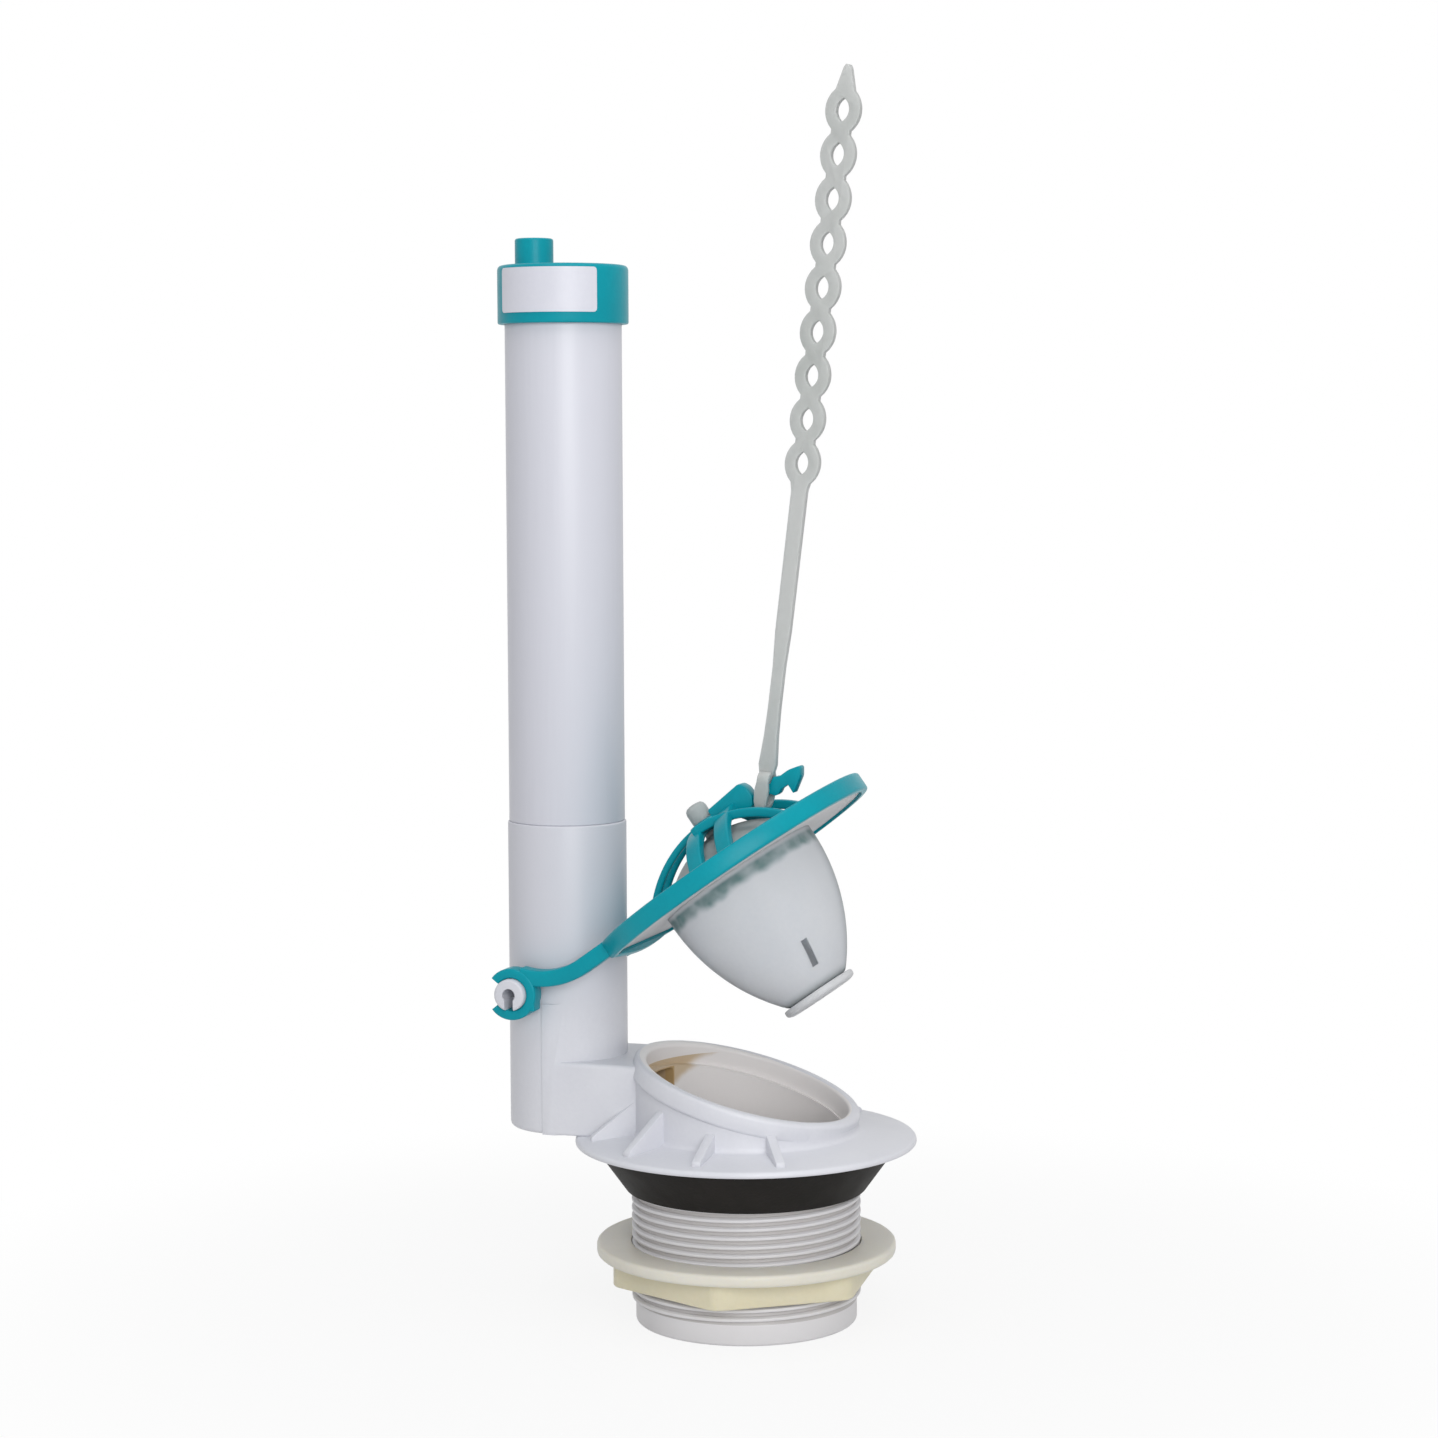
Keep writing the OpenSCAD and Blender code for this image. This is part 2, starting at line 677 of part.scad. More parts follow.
// Side view of the bore of an ear and its mouth, about the hinge axis
module ear_opening() {
    mouth = ear_mouth * pin_d;
    circle(ear_bore_r);
    rotate(180 - open_slope) translate([0, -mouth / 2]) square([2 * ear_r, mouth]);
}

// Arms with their hooked ears
module arms() {
    difference() {
        for (y0 = [-ear_out, ear_in]) difference() {
            union() {
                across(y0, y0 + ear_w) arm_outline();
                translate([pivot_u, 0, pivot_s]) across(y0, y0 + ear_w) ear_outline();
            }
            translate([pivot_u, 0, pivot_s]) across(y0 - over, y0 + ear_w + over) ear_opening();
        }
        seal_pocket(0, -lip_drop - over, plate_s);
    }
}

// One arched leg, from the top of the arch out and down to the plate
module leg(width, r, rise) {
    across(-width / 2, width / 2) intersection() {
        translate([0, rise - r]) difference() {
            circle(r);
            circle(r - leg_t);
        }
        translate([0, ring_top - plate_t / 2]) square(2 * r);
    }
}

// Arched legs over the air dome, joined by the hub
module spider() {
    for (side = [-1, 1]) {
        translate([0, side * hinge_legs / 2, 0]) mirror([1, 0, 0]) leg(leg_w, hinge_leg_r, hinge_leg_rise);
        translate([0, side * strap_legs / 2, 0]) leg(leg_w, leg_r, leg_rise);
        translate([side_leg_x, 0, 0]) rotate([0, 0, side * 90]) leg(side_leg_w, leg_r, leg_rise);
    }
    translate([-leg_w / 2, -(strap_legs + leg_w) / 2, leg_rise - leg_t])
        cube([side_leg_x + (leg_w + side_leg_w) / 2, strap_legs + leg_w, leg_t]);
    translate([0, 0, leg_rise - leg_t]) cylinder(r = hub_r, h = leg_t + hub_rise);
}

// Beam from the hub to the strap, with its barbed hook
module strap_hook() {
    start = hub_r - leg_w / 2;
    post = beam_len - 2 * hook_t;
    low = hook_rise - hook_t / 2;
    top = hook_rise + hook_t / 2;
    barb_u = hook_x + hook_len / 2;
    barb_low = low - barb_drop;
    hook_end = hook_x + hook_len;
    across(-beam_w / 2, beam_w / 2) polygon([[start, leg_rise - leg_t], [post, leg_rise - leg_t],
        [post, low], [beam_len, low], [beam_len, beam_top - beam_chamfer], [beam_len - beam_chamfer, beam_top],
        [start, beam_top]]);
    across(-hook_w / 2, hook_w / 2) polygon([[post, low], [barb_u, low], [barb_u, low - barb_drop / 2],
        [barb_u - hook_tip, barb_low], [hook_end - 2 * hook_tip, low], [hook_end, top],
        [hook_end - 2 * hook_tip, top + hook_tip], [hook_end - 4 * hook_tip, top], [post, top]]);
}

module flapper_frame() {
    color("#1298a6") at_flapper() difference() {
        union() {
            flapper_ring();
            chord_ridge();
            collar();
            arms();
            spider();
            strap_hook();
        }
        translate([0, 0, leg_rise - leg_t - over])
            cylinder(r = hub_bore_r, h = leg_t + hub_rise + 2 * over);
        translate([0, 0, hub_top]) cylinder(r = head_r + snap_fit, h = head_h);
    }
}

module flapper_seal() {
    color("#c6c9cc") at_flapper() difference() {
        seal_pocket(snap_fit, seal_gap, plate_s);
        translate([0, 0, seal_gap - over]) cylinder(r = collar_r + snap_fit, h = seal_t + 2 * over);
    }
}

module air_dome() {
    rise = dome_rise - dome_base;
    ball_r = (dome_r * dome_r + rise * rise) / (2 * rise);
    color("#b9c0c0") at_flapper() {
        intersection() {
            translate([0, 0, dome_rise - ball_r]) difference() {
                sphere(ball_r);
                sphere(ball_r - dome_wall);
            }
            translate([0, 0, dome_base]) cylinder(r = dome_r, h = rise + over);
        }
        translate([0, 0, dome_rise - dome_wall])
            cylinder(r = stud_r, h = hub_top - dome_rise + dome_wall + root);
        translate([0, 0, hub_top]) cylinder(r = head_r, h = head_h - head_r);
        translate([0, 0, hub_top + head_h - head_r]) sphere(head_r);
    }
}

module float_cone() {
    depth = float_h + seal_gap;
    heights = [for (i = [0 : float_steps]) seal_gap - depth * i / float_steps];
    color("#bcc0c8") at_flapper() difference() {
        rotate_extrude() polygon(concat(
            [[0, seal_gap]], [for (s = heights) [float_r(s - seal_gap), s]], [[0, -float_h]]));
        rotate_extrude() polygon(concat(
            [[0, seal_gap + over], [float_r(0) - float_wall, seal_gap + over]],
            [for (s = heights) if (s > float_wall - float_h) [float_r(s - seal_gap) - float_wall, s]],
            [[float_r(float_wall - depth) - float_wall, float_wall - float_h], [0, float_wall - float_h]]));
        translate([0, 0, -float_h - over]) cylinder(r = spindle_r + dial_fit, h = float_wall + 2 * over);
        rotate([0, 0, bleed_angle]) translate([0, -bleed_w / 2, bleed_rise - float_h])
            cube([float_d, bleed_w, bleed_len]);
    }
}

module bleed_dial() {
    top = -float_h - face_gap;
    head_s = float_wall - float_h + face_gap;
    color("#c3c6cb") at_flapper() {
        translate([0, 0, top - dial_t]) cylinder(r = dial_d / 2, h = dial_t);
        translate([0, 0, top - dial_t]) cylinder(r = spindle_r, h = head_s + spindle_rim - top + dial_t);
        translate([0, 0, head_s]) cylinder(r = spindle_r + spindle_rim, h = spindle_rim);
    }
}

// Lens between two arcs, lying along the strap
module lens(width, length) {
    r = (width * width + length * length) / (4 * width);
    intersection_for (side = [-1, 1]) translate([side * (r - width / 2), 0]) circle(r);
}

// Front view of the stem, the ladder of eyelets and the tip
module strap_outline() {
    last = eyelet_start + (eyelet_count - 1) * eyelet_pitch;
    tip = last + tip_len;
    foot_top = stem_low + stem_foot_len;
    polygon([[-stem_foot_w / 2, stem_low], [stem_foot_w / 2, stem_low], [stem_w / 2, foot_top],
        [stem_w / 2, eyelet_start], [-stem_w / 2, eyelet_start], [-stem_w / 2, foot_top]]);
    translate([-neck_w / 2, eyelet_start]) square([neck_w, last - eyelet_start]);
    for (i = [0 : eyelet_count - 1])
        translate([0, eyelet_start + i * eyelet_pitch]) lens(eyelet_w, eyelet_len);
    polygon([[-neck_w / 2, last], [neck_w / 2, last], [tip_w / 2, tip - tip_w / 2], [0, tip],
        [-tip_w / 2, tip - tip_w / 2]]);
}

// Loop around the hook, seen along the hook
module strap_loop() {
    half_w = loop_hole_w / 2 + loop_band;
    low = -loop_low - loop_band / 2;
    translate([-loop_t / 2, 0, 0]) rotate([90, 0, 90]) linear_extrude(loop_t) difference() {
        translate([-half_w, low]) square([2 * half_w, stem_low + loop_band - low]);
        translate([-loop_hole_w / 2, low + loop_band]) square([loop_hole_w, loop_top - low - loop_band]);
    }
}

module pull_strap() {
    color("#b6b8b8") at_flapper() translate([hook_x, 0, hook_rise]) rotate([0, strap_slack, 0]) {
        across(-strap_t / 2, strap_t / 2) difference() {
            strap_outline();
            for (i = [0 : eyelet_count - 1])
                translate([0, eyelet_start + i * eyelet_pitch]) lens(eye_w, eye_len);
        }
        strap_loop();
    }
}

valve_body();
overflow_tube();
tank_gasket();
friction_washer();
locknut();
refill_cap();
cap_label();
flapper_frame();
flapper_seal();
air_dome();
float_cone();
bleed_dial();
pull_strap();
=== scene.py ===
"""Looks of a toilet flush valve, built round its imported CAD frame.

Pieces are modelled in millimetres in the frame's axes and scaled to metres when they are finished.
"""
import json
import math

import bmesh
import bpy
from mathutils import Matrix, Vector

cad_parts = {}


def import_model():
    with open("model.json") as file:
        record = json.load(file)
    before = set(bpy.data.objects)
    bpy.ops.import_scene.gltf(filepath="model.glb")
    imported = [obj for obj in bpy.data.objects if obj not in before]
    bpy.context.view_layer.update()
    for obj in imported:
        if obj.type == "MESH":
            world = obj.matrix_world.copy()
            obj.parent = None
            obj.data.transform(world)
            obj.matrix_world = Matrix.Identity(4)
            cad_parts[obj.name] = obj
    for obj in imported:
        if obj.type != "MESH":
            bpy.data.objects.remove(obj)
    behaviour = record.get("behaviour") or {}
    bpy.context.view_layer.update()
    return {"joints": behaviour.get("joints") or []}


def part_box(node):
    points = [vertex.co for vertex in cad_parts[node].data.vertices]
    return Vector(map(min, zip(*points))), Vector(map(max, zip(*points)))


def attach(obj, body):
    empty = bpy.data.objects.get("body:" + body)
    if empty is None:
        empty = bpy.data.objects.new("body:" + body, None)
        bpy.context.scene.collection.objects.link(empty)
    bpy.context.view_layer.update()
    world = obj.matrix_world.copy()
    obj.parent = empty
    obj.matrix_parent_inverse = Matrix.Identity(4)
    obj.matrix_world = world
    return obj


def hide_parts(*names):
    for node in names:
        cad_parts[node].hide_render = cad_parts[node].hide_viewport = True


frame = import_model()

MM = 0.001
JOINTS = {joint["name"]: joint for joint in frame["joints"]}

# Fineness of the meshes
TURN_STEPS = 128
DIAL_STEPS = 96
PIN_STEPS = 64
HOSE_STEPS = 48
HOLE_STEPS = 32
RING_STEPS = 120
EAR_STEPS = 40
LEG_STEPS = 24
ARM_STEPS = 14
LABEL_STEPS = 48
CORNER_STEPS = 3
SHARP_ANGLE = math.radians(34)
SOFT_ANGLE = math.radians(50)
TINY = 1e-4


def joint_point(name):
    """A joint's place in millimetres."""
    return Vector(JOINTS[name]["pos_m"]) / MM


def node_box(node):
    """A CAD node's lowest and highest corner in millimetres."""
    low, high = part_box(node)
    return low / MM, high / MM


# Valve body
PILOT_R = 28.8
PILOT_TOP = 5.5
THREAD_R = 29.8
THREAD_ROOT_R = 28.6
THREAD_PITCH = 2.309
THREAD_FOOT = 1.7
THREAD_CREST = 0.75
BORE_R = 25.4
FLANGE_R = 44.3
FLANGE_LOW = 46.6
FLANGE_TOP = 49.8
FLANGE_EDGE = 1.6
WALL_R = 29.3
SEAT_TILT = math.radians(15.6)
SEAT_MIDDLE = Vector((0.7, 0, 62.2))
SEAT_IN_R = 27.1
RIM_R = 30.3
BEAD_H = 5
SEAT_STEP = 5.5
GUSSET_T = 2.4
GUSSET_RUN = 11.6
GUSSET_TOE = 1
STAND_FOOT = FLANGE_LOW + FLANGE_EDGE
GUSSETS = ((60, 4.6), (90, 4.6), (120, 8.8), (150, 8.8))

# Standpipe, arm and hinge pins
STAND_R = 15.5
STAND_BORE_R = 11.85
SPIGOT_R = 13.05
SPIGOT_LEN = 18
ARM_H = 17.7
DUCT_W = 20
DUCT_LOW = 52.8
DUCT_TOP = 62.8
RIB_HALF = 1.6
RIB_BLEND = 6
RIB_PROUD = 0.35
RIB_TOP = 82.6
RIB_CLEAR = 0.5
WATER_WAY_TOP = 200
PIN_R = 4.15
PIN_BORE_R = 1.75
PIN_BORE_DEPTH = 7
PIN_SLOT = 2.4
PIN_END = 22.75

# Overflow tube and refill cap
TUBE_WALL = 2
CAP_WALL = 1.7
CAP_TOP_T = 2
CAP_ROUND = 1.2
CAP_OPEN_R = 12.7
NIPPLE_R = 5
NIPPLE_BORE_R = 3.2
NIPPLE_H = 7.1
NIPPLE_SHIFT = 7.9
NIPPLE_FOOT = 0.8
BRIDGE_W = 12
LABEL_ARC = math.radians(94)
LABEL_TURN = math.radians(4)
LABEL_T = 0.3
LABEL_GAP = 0.05
LABEL_CORNER = 0.9

# Gasket, washer and locknut
GASKET_LOW_W = 1.2
GASKET_TOP_W = 9
GASKET_EDGE = 1.2
GASKET_GAP = 0.02
NUT_BORE_R = 29.9
NUT_FLATS = 63
NUT_CORNER = 2.2
NUT_TURN = math.radians(35)

# Flapper frame, in the flapper's own axes
RING_R = 40
RING_LOW = -0.5
RING_TOP = 4.5
LIP_T = 2
SEAL_LOW = 0.2
SEAL_TOP = 2.5
SEAL_GAP = 0.15
CHORD_U = -34.417
RIDGE_LEN = 36
RIDGE_DROP = 1.2
COLLAR_R = 20.35
COLLAR_IN_R = 18.95
COLLAR_LOW = -4.4
COLLAR_TEETH = 12
TOOTH_GAP = 2.8
ARM_T = 4.2
ARM_BEND = 16
ARM_ROOT = 12
EAR_IN = 16.25
EAR_W = 5
EAR_BORE_R = 4.23
EAR_R = 6.73
EAR_JOIN = math.radians(30)
EAR_MOUTH = math.radians(76)
ARM_INSET = 0.3
PIN_CLEAR = 0.05
TAB_IN = PIN_R - 1
TAB_W = 3.3
TAB_TOP = 1.2
TAB_INSET = 0.5
LEG_R = 31
LEG_RISE = 15.7
HINGE_LEG_R = 32.7
HINGE_LEG_RISE = 16
LEG_T = 2.4
LEG_W = 2.4
HINGE_LEG_T = 1.8
SIDE_LEG_W = 4.4
SIDE_LEGS = (-1, 8.1)
HINGE_LEGS = 6.8
STRAP_LEGS = 18
HUB_R = 4.4
HUB_TOP = 16.4
CROSS_END = 5.5
CROSS_INSET = 0.1
BEAM_LEN = 15.5
BEAM_W = 5
BEAM_TOP = 18.9
HOOK_U = 18.1
HOOK_S = 13.1
HOOK_T = 2.2
HOOK_W = 3.6
HOOK_LEN = 12.3
HOOK_NECK = 2.5
BARB_U = 25
BARB_DROP = 3.4

# Float, dome and dial, in the flapper's own axes
FLOAT_R = 21.9
FLOAT_H = 36.2
FLOAT_LOW = -FLOAT_H
FLOAT_BULGE = 52
BULGE_DROP = 1.7
FLOAT_WALL = 1.4
BLEED_ANGLE = math.radians(-56)
BLEED_W = 1.8
BLEED_LEN = 7
BLEED_RISE = 5.2
DOME_R = 18.8
DOME_LOW = 3.5
DOME_TOP = 12
DOME_WALL = 1.2
STUD_R = 1.9
HEAD_R = 2.9
HEAD_H = 5
DIAL_R = 10.3
DIAL_T = 2.2
DIAL_GAP = 0.05
SPINDLE_R = 2
SPINDLE_GAP = 0.1

# Pull strap, in its own axes from the hook upwards
STRAP_LEAN = math.radians(7)
STRAP_T = 2.4
STEM_LOW = 4.2
STEM_EDGE = ((1.6, STEM_LOW), (2.25, 7.5), (1.7, 15), (1.5, 22), (1.5, 33), (1.9, 42), (1.95, 78))
EYELET_START = 85.1
EYELET_PITCH = 11.1
EYELETS = 9
EYELET_W = 9
EYELET_LEN = 13
EYELET_SHARE = 0.9
NECK_HALF = 2.3
EYE_W = 3.4
EYE_LEN = 6
TIP_LEN = 11.3
TIP_W = 2
LOOP_T = 4.4
LOOP_BAND = 1.5
LOOP_HOLE_W = 4.6
LOOP_HOLE_LOW = -3.05
LOOP_HOLE_TOP = 3.2
LOOP_SIDE = ((0.9, -5), (1.7, -1.9), (1.85, 0.1), (1.85, 1.3), (1.55, 3.0), (1.55, 7))

# Places
TUBE_LOW, TUBE_HIGH = node_box("overflow_tube")
TUBE_X = (TUBE_LOW.x + TUBE_HIGH.x) / 2
TUBE_R = (TUBE_HIGH.x - TUBE_LOW.x) / 2
CAP_LOW, CAP_HIGH = node_box("refill_cap")
CAP_R = (CAP_HIGH.x - CAP_LOW.x) / 2
HINGE = joint_point("flapper_lift")
HOOK = joint_point("strap_swing")
FLAPPER_NORMAL = Vector(JOINTS["dial_turn"]["axis"]).normalized()
FLAPPER_SLOPE = math.atan2(-FLAPPER_NORMAL.x, FLAPPER_NORMAL.z)
FLAPPER_MIDDLE = joint_point("dial_turn") + FLOAT_H * FLAPPER_NORMAL

SEAT = Matrix.Translation(SEAT_MIDDLE) @ Matrix.Rotation(SEAT_TILT, 4, "Y")
FLAPPER = Matrix.Translation(FLAPPER_MIDDLE) @ Matrix.Rotation(-FLAPPER_SLOPE, 4, "Y")
STRAP = Matrix.Translation(HOOK) @ Matrix.Rotation(STRAP_LEAN, 4, "Y")
STAND = Matrix.Translation((TUBE_X, 0, 0))
# Turns an outline drawn flat into a side view with its second number upwards
UPRIGHT = Matrix.Rotation(math.pi / 2, 4, "X")
# Turns an outline drawn flat into a view along X with its second number upwards
FACING_X = Matrix(((0, 0, 1, 0), (1, 0, 0, 0), (0, 1, 0, 0), (0, 0, 0, 1)))


# Mesh making

def outline(bm, corners):
    """One flat face from (a, b) or (a, b, rounding) corners."""
    verts = [bm.verts.new((corner[0], corner[1], 0)) for corner in corners]
    bm.faces.new(verts)
    for rounding in sorted({corner[2] for corner in corners if len(corner) > 2}):
        chosen = [v for v, corner in zip(verts, corners) if corner[2:] == (rounding,)]
        bmesh.ops.bevel(bm, geom=chosen, offset=rounding, segments=CORNER_STEPS, profile=0.5,
                        affect="VERTICES", material=-1)


def tidy(bm):
    """Merges doubles and turns the faces outwards."""
    bmesh.ops.remove_doubles(bm, verts=bm.verts, dist=TINY)
    bmesh.ops.recalc_face_normals(bm, faces=bm.faces)
    return bm


def soften(bm, width, segments=2):
    """Rounds every sharp edge by the width."""
    sharp = [e for e in bm.edges if e.is_manifold and e.calc_face_angle(0) > SOFT_ANGLE]
    bmesh.ops.bevel(bm, geom=sharp, offset=width, segments=segments, profile=0.5,
                    affect="EDGES", material=-1, clamp_overlap=True)
    return bm


def moved(bm, matrix):
    """Transforms the whole bmesh."""
    bmesh.ops.transform(bm, matrix=matrix, verts=bm.verts)
    return bm


def turned(corners, steps=TURN_STEPS):
    """A solid turned about Z from (radius, height[, rounding]) corners."""
    bm = bmesh.new()
    outline(bm, corners)
    moved(bm, UPRIGHT)
    bmesh.ops.delete(bm, geom=bm.faces[:], context="FACES_ONLY")
    on_axis = [e for e in bm.edges if all(abs(v.co.x) < TINY for v in e.verts)]
    bmesh.ops.delete(bm, geom=on_axis, context="EDGES")
    bmesh.ops.spin(bm, geom=bm.verts[:] + bm.edges[:], axis=(0, 0, 1), cent=(0, 0, 0),
                   angle=math.tau, steps=steps, use_merge=True)
    return tidy(bm)


def raised(bm, faces, vector):
    """Extrudes faces by a vector and gives the new faces."""
    made = bmesh.ops.extrude_face_region(bm, geom=faces)["geom"]
    bmesh.ops.translate(bm, vec=vector, verts=[v for v in made if isinstance(v, bmesh.types.BMVert)])
    return [f for f in made if isinstance(f, bmesh.types.BMFace)]


def prism(corners, low, high, soft=0.0, segments=2):
    """An outline extruded along Z from low to high, with soft edges."""
    bm = bmesh.new()
    outline(bm, corners)
    bmesh.ops.translate(bm, vec=(0, 0, low), verts=bm.verts)
    raised(bm, bm.faces[:], (0, 0, high - low))
    tidy(bm)
    return soften(bm, soft, segments) if soft else bm


def side_prism(corners, width, soft=0.0, middle=0.0):
    """A side view of (x, z) corners, extruded across Y about the middle."""
    bm = moved(prism(corners, -width / 2, width / 2, soft), UPRIGHT)
    return moved(bm, Matrix.Translation((0, middle, 0)))


def bar_section(bm, middle, depth, width, corner):
    """The rounded section of a bar, facing along X, as one face."""
    half, side = depth / 2, width / 2
    outline(bm, ((-side, -half, corner), (side, -half, corner),
                 (side, half, corner), (-side, half, corner)))
    moved(bm, Matrix.Translation(middle) @ FACING_X)


def solid_object(bm):
    """A passing object for a boolean."""
    mesh = bpy.data.meshes.new("passing")
    bm.to_mesh(mesh)
    bm.free()
    made = bpy.data.objects.new("passing", mesh)
    bpy.context.scene.collection.objects.link(made)
    return made


def carved(base, joins=(), cuts=()):
    """The base with some solids joined to it and others then cut from it, one at a time."""
    for operation, shells in (("UNION", joins), ("DIFFERENCE", cuts)):
        for shell in shells:
            target, tool = solid_object(base), solid_object(shell)
            step = target.modifiers.new("carve", "BOOLEAN")
            step.object, step.operation, step.solver = tool, operation, "EXACT"
            whole = target.evaluated_get(bpy.context.evaluated_depsgraph_get())
            base = bmesh.new()
            base.from_mesh(whole.to_mesh())
            whole.to_mesh_clear()
            for passing in (target, tool):
                mesh = passing.data
                bpy.data.objects.remove(passing)
                bpy.data.meshes.remove(mesh)
            tidy(base)
    return base


def piece(name, bm, body, node, finish, place=None):
    """A finished piece that stands for a CAD node and rides on its body."""
    if place is not None:
        moved(bm, place)
    bmesh.ops.scale(bm, vec=(MM, MM, MM), verts=bm.verts)
    mesh = bpy.data.meshes.new(name)
    bm.to_mesh(mesh)
    bm.free()
    mesh.shade_smooth()
    mesh.set_sharp_from_angle(angle=SHARP_ANGLE)
    mesh.materials.append(finish)
    made = bpy.data.objects.new(name, mesh)
    bpy.context.scene.collection.objects.link(made)
    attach(made, body)
    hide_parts(node)
    return made


# Finishes

def srgb(red, green, blue):
    """A linear colour from screen values of 0 to 255."""
    def linear(value):
        share = value / 255
        return share / 12.92 if share <= 0.04045 else ((share + 0.055) / 1.055) ** 2.4
    return (linear(red), linear(green), linear(blue), 1)


class Value:
    """A shader value: arithmetic on it adds Math nodes to its finish."""

    def __init__(self, finish, socket):
        self.finish = finish
        self.socket = socket

    def math(self, operation, first, second):
        return self.finish.node("ShaderNodeMath", {"operation": operation}, {0: first, 1: second})

    def __add__(self, other):
        return self.math("ADD", self, other)

    def __radd__(self, other):
        return self.math("ADD", other, self)

    def __sub__(self, other):
        return self.math("SUBTRACT", self, other)

    def __rsub__(self, other):
        return self.math("SUBTRACT", other, self)

    def __mul__(self, other):
        return self.math("MULTIPLY", self, other)

    def __rmul__(self, other):
        return self.math("MULTIPLY", other, self)

    def __gt__(self, other):
        return self.math("GREATER_THAN", self, other)

    def __lt__(self, other):
        return self.math("LESS_THAN", self, other)


class Nodes:
    """The shader nodes of a material or world, with one method that adds any node."""

    def __init__(self, owner):
        owner.use_nodes = True
        self.owner = owner
        self.tree = owner.node_tree

    def plug(self, socket, value):
        """Links a value to a socket, or sets the socket to a plain number or colour."""
        if isinstance(value, Value):
            self.tree.links.new(value.socket, socket)
        else:
            socket.default_value = value

    def node(self, kind, settings=None, sockets=None, out=0):
        """Adds a node, its settings first and then its sockets, and gives one of its outputs."""
        made = self.tree.nodes.new(kind)
        for name, setting in (settings or {}).items():
            setattr(made, name, setting)
        for name, value in (sockets or {}).items():
            self.plug(made.inputs[name], value)
        return Value(self, made.outputs[out])

    def shader(self, sockets):
        """Sets sockets of the material's own shader."""
        for name, value in sockets.items():
            self.plug(self.tree.nodes["Principled BSDF"].inputs[name], value)

    def place(self, stretch=(1, 1, 1)):
        """The piece's own coordinates in metres, stretched."""
        coordinates = self.node("ShaderNodeTexCoord", out="Object")
        return self.node("ShaderNodeMapping", None, {"Vector": coordinates, "Scale": stretch})

    def grain(self, scale, detail=3.0, stretch=(1, 1, 1)):
        """Soft noise from 0 to 1, at a scale per metre."""
        return self.node("ShaderNodeTexNoise", None,
                         {"Vector": self.place(stretch), "Scale": scale, "Detail": detail})

    def axes(self):
        """The piece's own x, y and z in millimetres."""
        return [self.node("ShaderNodeSeparateXYZ", None, {0: self.place((1 / MM,) * 3)}, axis)
                for axis in "XYZ"]

    def ramp(self, value, low, high):
        """A smooth step of a value from 0 at low to 1 at high."""
        return self.node("ShaderNodeMapRange", {"interpolation_type": "SMOOTHSTEP"},
                         {"Value": value, "From Min": low, "From Max": high})

    def mix(self, factor, first, second):
        """A blend of two colours."""
        return self.node("ShaderNodeMix", {"data_type": "RGBA"}, {0: factor, 6: first, 7: second}, 2)

    def bump(self, height, depth):
        """A normal bent by a height, with its depth in millimetres."""
        return self.node("ShaderNodeBump", None, {"Height": height, "Distance": depth * MM})

    def seen(self):
        """1 for what the camera, a reflection or a clear piece sees, and 0 for light on the part."""
        rays = ("Camera", "Glossy", "Transmission")
        direct, mirrored, through = (self.node("ShaderNodeLightPath", out=f"Is {ray} Ray") for ray in rays)
        return 1 - (1 - direct) * (1 - mirrored) * (1 - through)


def plastic(name, colour, shade, roughness, gloss_drift=0.08, peel=0.02, stretch=(1, 1, 1)):
    """Moulded plastic: gives its nodes and its colour, which drifts to a shade."""
    finish = Nodes(bpy.data.materials.new(name))
    clouds, specks = finish.grain(35, 3, stretch), finish.grain(900, 2, stretch)
    drift = finish.ramp(clouds * 0.8 + specks * 0.2, 0.35, 0.7)
    tint = finish.mix(drift, srgb(*colour), srgb(*shade))
    finish.shader({"Base Color": tint,
                   "Roughness": roughness + (finish.grain(160, 4, stretch) - 0.5) * gloss_drift,
                   "Normal": finish.bump(finish.grain(1500, 2, stretch), peel)})
    return finish, tint


# Where the white moulding changes its tint, in millimetres
BORE_TINT_R = SEAT_IN_R + 0.4
BORE_TINT_LOW = 2
ROOT_SHADE_R = THREAD_R - 0.6
STAND_TINT_LOW = 72
STAND_TINT_TOP = 100
PORT_EDGE = 0.3
PORT_END = 3.4 - BORE_R
OCHRE_END = -12
OCHRE_LOW = 51.6
OCHRE_FULL = 54.4
OCHRE_TOP = 65
OCHRE_SLANT = 0.62
OCHRE_WAVER = 1.6


